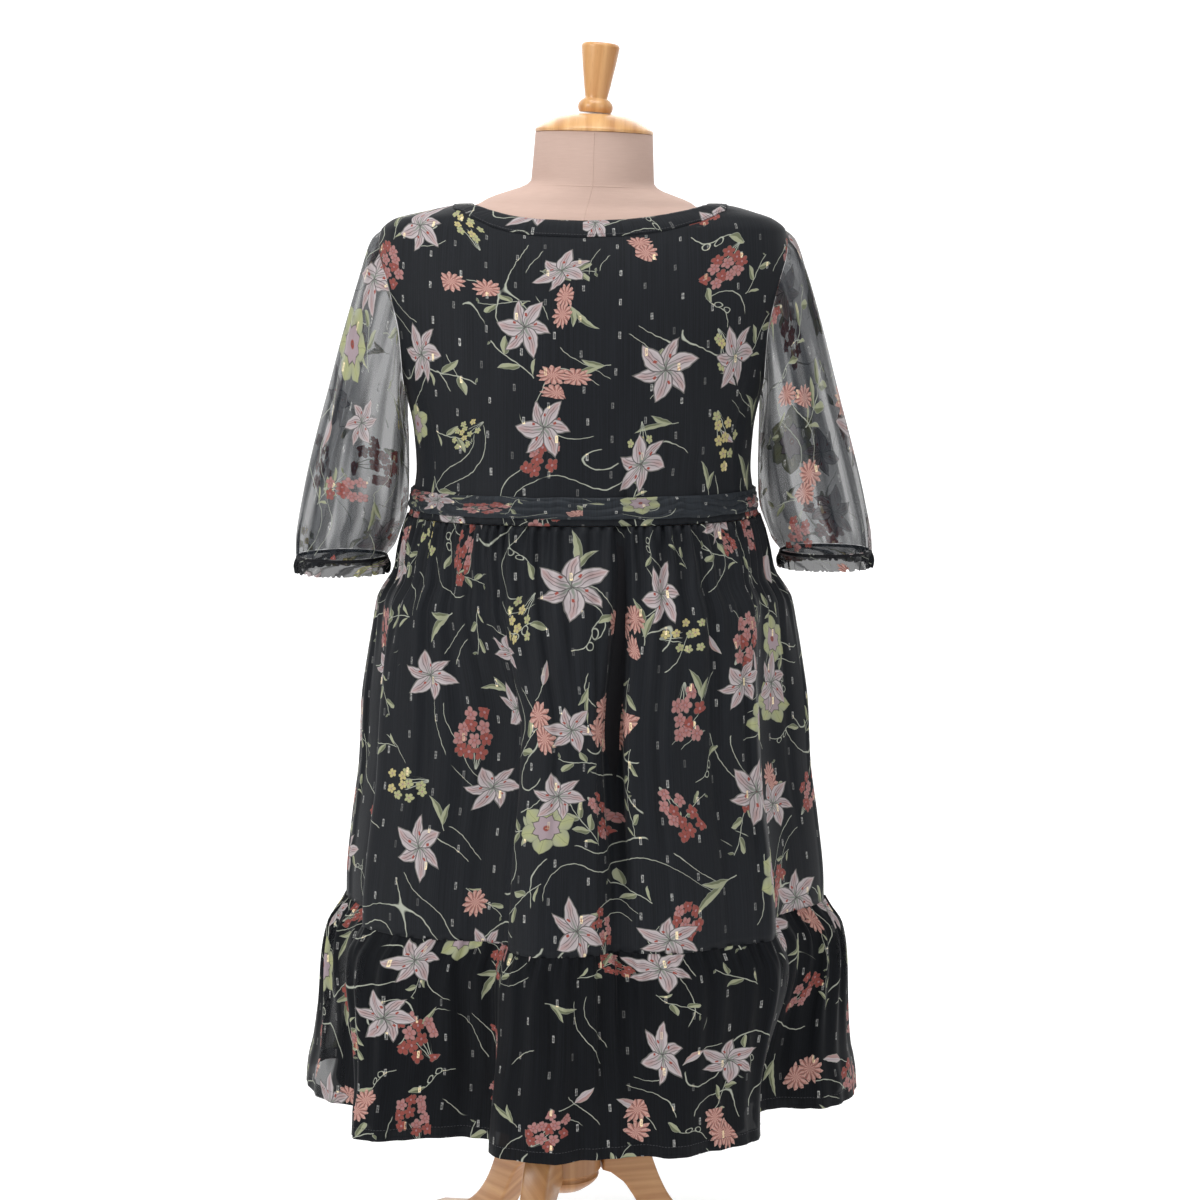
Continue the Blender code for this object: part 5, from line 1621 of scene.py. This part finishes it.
# %% Sleeves and cuffs
def sleeve_place(cuff):
    start_at = sleeve_start(cuff.side)
    seed = 11.0 if cuff.side > 0 else 23.0

    def place(across, up):
        share, turn = 1 - up, 2 * math.pi * across
        underarm = (0.5 * (1 + math.cos(turn))) ** 1.5
        away = Vector((-cuff.side * math.cos(turn), -math.sin(turn), 0.0))
        puff = outer_puff.at(share) * (1 - underarm) + underarm_puff.at(share) * underarm
        middle = math.sin(math.pi * share)
        fold = 2.0 * middle * math.cos(6 * turn + 1.1)
        fold += 2.6 * middle**0.6 * uneven(turn + 0.5 * share, 3.2, seed + 1.1 * share)
        fold += 1.3 * middle**0.5 * uneven(turn, 8.0, seed + 0.8 * share)
        fold += 1.5 * eased(0.80, 0.985, share) * math.cos(CUFF_PUCKERS * turn + 2 * uneven(turn, 4.0, seed))
        fold += 0.8 * (1 - eased(0.02, 0.16, share)) * eased(0, 0.03, share) * math.cos(26 * turn)
        fold *= 1 - 0.85 * underarm
        finish = cuff_ring_point(cuff, turn, CUFF_WIDTH + GAP, WALL)
        return start_at(across).lerp(finish, share) + away * (puff + fold) / 1000

    return place


def cuff_place(cuff):
    def place(across, up):
        turn, down = 2 * math.pi * across, 1 - up
        pucker = math.cos(CUFF_PUCKERS * turn + 2.6 * uneven(turn, 5.0, 2.0))
        pucker = pucker * (1 + 0.6 * uneven(turn, 9.0, 5.0))
        out = 0.0004 + 0.0014 * math.sin(math.pi * down) + 0.0024 * pucker * eased(0.0, 0.6, down)
        rise = 0.0028 * uneven(turn, 16.0, 7.0 + cuff.side) * eased(0.5, 1.0, down)
        return cuff_ring_point(cuff, turn, CUFF_WIDTH * up + max(0.0, rise), WALL + out)

    return place


def elastic_path(cuff):
    return lambda share: cuff_ring_point(cuff, 2 * math.pi * share, CUFF_WIDTH - 0.0022, WALL + 0.0002)


def cuff_outward(cuff):
    def outward(share):
        turn = 2 * math.pi * share
        return Vector((-cuff.side * math.cos(turn), -math.sin(turn), 0.0))

    return outward


for cuff in CUFFS:
    bolt = (3.3 + cuff.side * 1.9, 6.2, 1)
    lay_cloth(f"sleeve_{cuff.label}_cloth", 200, 84, sleeve_place(cuff), SLEEVE_CLOTH,
              [f"sleeve_{cuff.label}"], closed=True, bolt=bolt)
    lay_cloth(f"cuff_{cuff.label}_cloth", 300, 12, cuff_place(cuff), GATHERED,
              [f"cuff_{cuff.label}"], closed=True, bolt=(bolt[0], 5.0, 1))
    cord(f"elastic_{cuff.label}", elastic_path(cuff), cuff_outward(cuff), LINING_CLOTH,
         width=0.0030, rise=0.0013, closed=True)

# %% [markdown]
# ## The covered torso
#
# The form is padded and covered with tightly stretched linen, sewn from two halves down the back and closed
# by a seam at the base of the neck. It is modelled as one smooth skin through its sections, closed below.

# %% The torso
def pole_axis_x(height):
    return STAND_X + (height - HUB_TOP) * math.tan(LEAN)


def torso_point(turn, height):
    lean = eased(1.165, 1.215, height)
    point = on_section(torso_sections.at(height), turn)
    return point + Vector((pole_axis_x(height) * lean, 0, -point.x * math.tan(LEAN) * lean))


def make_torso():
    columns = 144
    heights = [0.640 + 0.012 * i for i in range(36)] + [1.072 + 0.00386 * i for i in range(51)]
    rows = len(heights) - 1
    shape = bmesh.new()
    bmesh.ops.create_grid(shape, x_segments=columns, y_segments=rows, size=0.5)
    for corner in shape.verts:
        i, j = round((corner.co.y + 0.5) * rows), round((corner.co.x + 0.5) * columns)
        corner.co = torso_point(2 * math.pi * j / columns, heights[i]) + AXIS
    bmesh.ops.remove_doubles(shape, verts=shape.verts, dist=0.00002)
    bmesh.ops.holes_fill(shape, edges=shape.edges, sides=columns)
    bmesh.ops.recalc_face_normals(shape, faces=shape.faces)
    torso = finish_piece("covered_torso", shape, LINEN, ["form_torso"])
    torso.data.set_sharp_from_angle(angle=math.radians(50))
    print("the torso has", len(torso.data.polygons), "faces")


def torso_outward(turn, height):
    across = torso_point(turn + 0.03, height) - torso_point(turn - 0.03, height)
    return across.cross(torso_point(turn, height + 0.0008) - torso_point(turn, height - 0.0008)).normalized()


make_torso()
BACK_SEAM_LOW, BACK_SEAM_TOP, NECK_SEAM = 1.165, 1.2635, 1.2095


def up_the_back(share):
    return 0.0, BACK_SEAM_LOW + share * (BACK_SEAM_TOP - BACK_SEAM_LOW)


def round_the_neck(share):
    return 2 * math.pi * share, NECK_SEAM


cord("back_seam", lambda share: torso_point(*up_the_back(share)),
     lambda share: torso_outward(*up_the_back(share)), LINEN, width=0.0014)
cord("neck_seam", lambda share: torso_point(*round_the_neck(share)),
     lambda share: torso_outward(*round_the_neck(share)), LINEN, width=0.0016, closed=True)

# %% [markdown]
# ## Turned wood
#
# The cap, its knob and the hub are lathe work: a profile is spun round its axis. The pole leans a little in
# the hub, so the cap and the knob are spun upright and then turned with it.

# %% Cap, knob, hub and pole
pole_frame = Matrix.Translation(AXIS + Vector((STAND_X, 0, HUB_TOP))) @ Matrix.Rotation(LEAN, 4, "Y")
knob_frame = (pole_frame @ Matrix.Translation((0, 0, CAP_TOP + 0.0015 - HUB_TOP))
              @ Matrix.Rotation(KNOB_LEAN, 4, "Y"))
hub_frame = Matrix.Translation(AXIS + Vector((STAND_X, 0, 0)))


def turn_on_lathe(name, profile, frame_of_axis, node, wood_look, steps=72):
    """Spins a profile of (radius, height) rows round the upright axis and puts it in place."""
    shape = bmesh.new()
    corners = [bmesh.ops.create_vert(shape, co=(r, 0.0, z))["vert"][0] for r, z in profile]
    edges = [shape.edges.new(pair) for pair in zip(corners, corners[1:])]
    bmesh.ops.spin(shape, geom=corners + edges, cent=(0, 0, 0), axis=(0, 0, 1), dvec=(0, 0, 0),
                   angle=2 * math.pi, steps=steps, use_merge=True, use_duplicate=False)
    bmesh.ops.remove_doubles(shape, verts=shape.verts, dist=0.00002)
    bmesh.ops.recalc_face_normals(shape, faces=shape.faces)
    grain = shape.loops.layers.uv.new("grain")
    for face in shape.faces:
        for loop in face.loops:
            loop[grain].uv = (loop.vert.co.z, loop.vert.co.x)
    bmesh.ops.transform(shape, matrix=frame_of_axis, verts=shape.verts)
    piece = finish_piece(name, shape, wood_look, [node])
    piece.data.set_sharp_from_angle(angle=math.radians(38))
    print(name, "has", len(piece.data.polygons), "faces")


CAP_PROFILE = ((0.0, 1.2862), (0.0110, 1.2862), (0.0190, 1.2860), (0.0250, 1.2854), (0.0310, 1.2845),
               (0.0375, 1.2829), (0.0435, 1.2805), (0.0490, 1.2780), (0.0540, 1.2750), (0.0580, 1.2724),
               (0.0607, 1.2703), (0.0619, 1.2692), (0.0622, 1.2682), (0.0621, 1.2671), (0.0616, 1.2662),
               (0.0608, 1.2660), (0.0, 1.2660))
KNOB_PROFILE = ((0.0, 0.0722), (0.0120, 0.0721), (0.0165, 0.0718), (0.0184, 0.0710), (0.0192, 0.0700),
                (0.0200, 0.0685), (0.0199, 0.0672), (0.0186, 0.0576), (0.0172, 0.0480), (0.0155, 0.0376),
                (0.0140, 0.0280), (0.0126, 0.0205), (0.0117, 0.0162), (0.0119, 0.0148), (0.0143, 0.0132),
                (0.0158, 0.0118), (0.0176, 0.0094), (0.0184, 0.0068), (0.0184, 0.0048), (0.0180, 0.0030),
                (0.0165, 0.0), (0.0, 0.0))
HUB_PROFILE = ((0.0, 0.2050), (0.0320, 0.2050), (0.0345, 0.2046), (0.0372, 0.2028), (0.0390, 0.2000),
               (0.0408, 0.1966), (0.0418, 0.1930), (0.0420, 0.1900), (0.0420, 0.1340), (0.0402, 0.1322),
               (0.0385, 0.1305), (0.0390, 0.1280), (0.0400, 0.1265), (0.0392, 0.1238), (0.0370, 0.1210),
               (0.0336, 0.1178), (0.0290, 0.1145), (0.0240, 0.1112), (0.0180, 0.1090), (0.0, 0.1090))
turn_on_lathe("turned_cap", [(r, z - HUB_TOP) for r, z in CAP_PROFILE], pole_frame, "neck_cap", CAP_WOOD, 96)
turn_on_lathe("turned_knob", KNOB_PROFILE, knob_frame, "cap_finial", CAP_WOOD, 64)
turn_on_lathe("turned_hub", HUB_PROFILE, hub_frame, "stand_hub", SHADED_STAND_WOOD)
POLE_PROFILE = ((0.0, 0.4322), (0.0162, 0.4322), (0.0170, 0.4314), (0.0170, 0.0022), (0.0162, 0.0014),
                (0.0, 0.0014))
turn_on_lathe("turned_pole", POLE_PROFILE, pole_frame, "stand_pole", SHADED_STAND_WOOD, 48)

# %% [markdown]
# ## Sawn feet
#
# Each foot is sawn from a board: an outline in the board's plane, as thick as the board, with its edges
# rounded over by a bevel.

# %% The three feet
EDGE_ROUND = 0.0034
LEG_OUTLINE = (
    (0.0428, 0.1870),
    (0.0640, 0.1850),
    (0.0830, 0.1720),
    (0.0960, 0.1500),
    (0.1060, 0.1220),
    (0.1200, 0.0930),
    (0.1430, 0.0640),
    (0.1760, 0.0420),
    (0.2150, 0.0300),
    (0.2420, 0.0220),
    (0.2520, 0.0120),
    (0.2500, 0.0000),
    (0.2050, 0.0000),
    (0.1620, 0.0110),
    (0.1240, 0.0330),
    (0.0980, 0.0620),
    (0.0820, 0.0900),
    (0.0660, 0.1150),
    (0.0520, 0.1265),
    (0.0428, 0.1300),
)


def smoothed(points, first, last, times=2):
    """The outline with its curved stretch, from first to last, drawn through four times the points."""
    for _ in range(times):
        made = []
        for i, point in enumerate(points):
            made.append(point)
            if first <= i < last:
                before, after, far = points[i - 1], points[i + 1], points[min(i + 2, len(points) - 1)]
                four = zip(point, after, before, far)
                made.append(tuple((9 * (a + b) - c - d) / 16 for a, b, c, d in four))
        points, last = made, last + (last - first)
    return points


def make_foot(number, turn_degrees):
    upper = smoothed(list(LEG_OUTLINE[:11]), 1, 9)
    lower = smoothed(list(LEG_OUTLINE[11:]), 1, 6)
    shape = bmesh.new()
    corners = [bmesh.ops.create_vert(shape, co=(x, -LEG_WIDTH / 2, z))["vert"][0] for x, z in upper + lower]
    side = shape.faces.new(corners)
    grown = bmesh.ops.extrude_face_region(shape, geom=[side])["geom"]
    far_side = [part for part in grown if isinstance(part, bmesh.types.BMVert)]
    bmesh.ops.translate(shape, vec=(0, LEG_WIDTH, 0), verts=far_side)
    bmesh.ops.recalc_face_normals(shape, faces=shape.faces)
    rims = [edge for edge in shape.edges if abs(edge.verts[0].co.y - edge.verts[1].co.y) < 1e-6]
    bmesh.ops.bevel(shape, geom=rims, offset=EDGE_ROUND, offset_type="OFFSET", affect="EDGES", segments=3,
                    profile=0.5, material=-1)
    bmesh.ops.recalc_face_normals(shape, faces=shape.faces)
    grain = shape.loops.layers.uv.new("grain")
    for face in shape.faces:
        for loop in face.loops:
            x, y, z = loop.vert.co
            loop[grain].uv = (x - 0.6 * z, z + y + 0.1 * number)
    turned = hub_frame @ Matrix.Rotation(math.radians(turn_degrees - 90), 4, "Z")
    bmesh.ops.transform(shape, matrix=turned, verts=shape.verts)
    foot = finish_piece(f"sawn_foot_{number}", shape, SHADED_STAND_WOOD, [f"stand_leg_{number}"])
    foot.data.set_sharp_from_angle(angle=math.radians(38))


for number, turn_degrees in enumerate(LEG_TURNS, start=1):
    make_foot(number, turn_degrees)
print(len(LEG_TURNS), "feet")
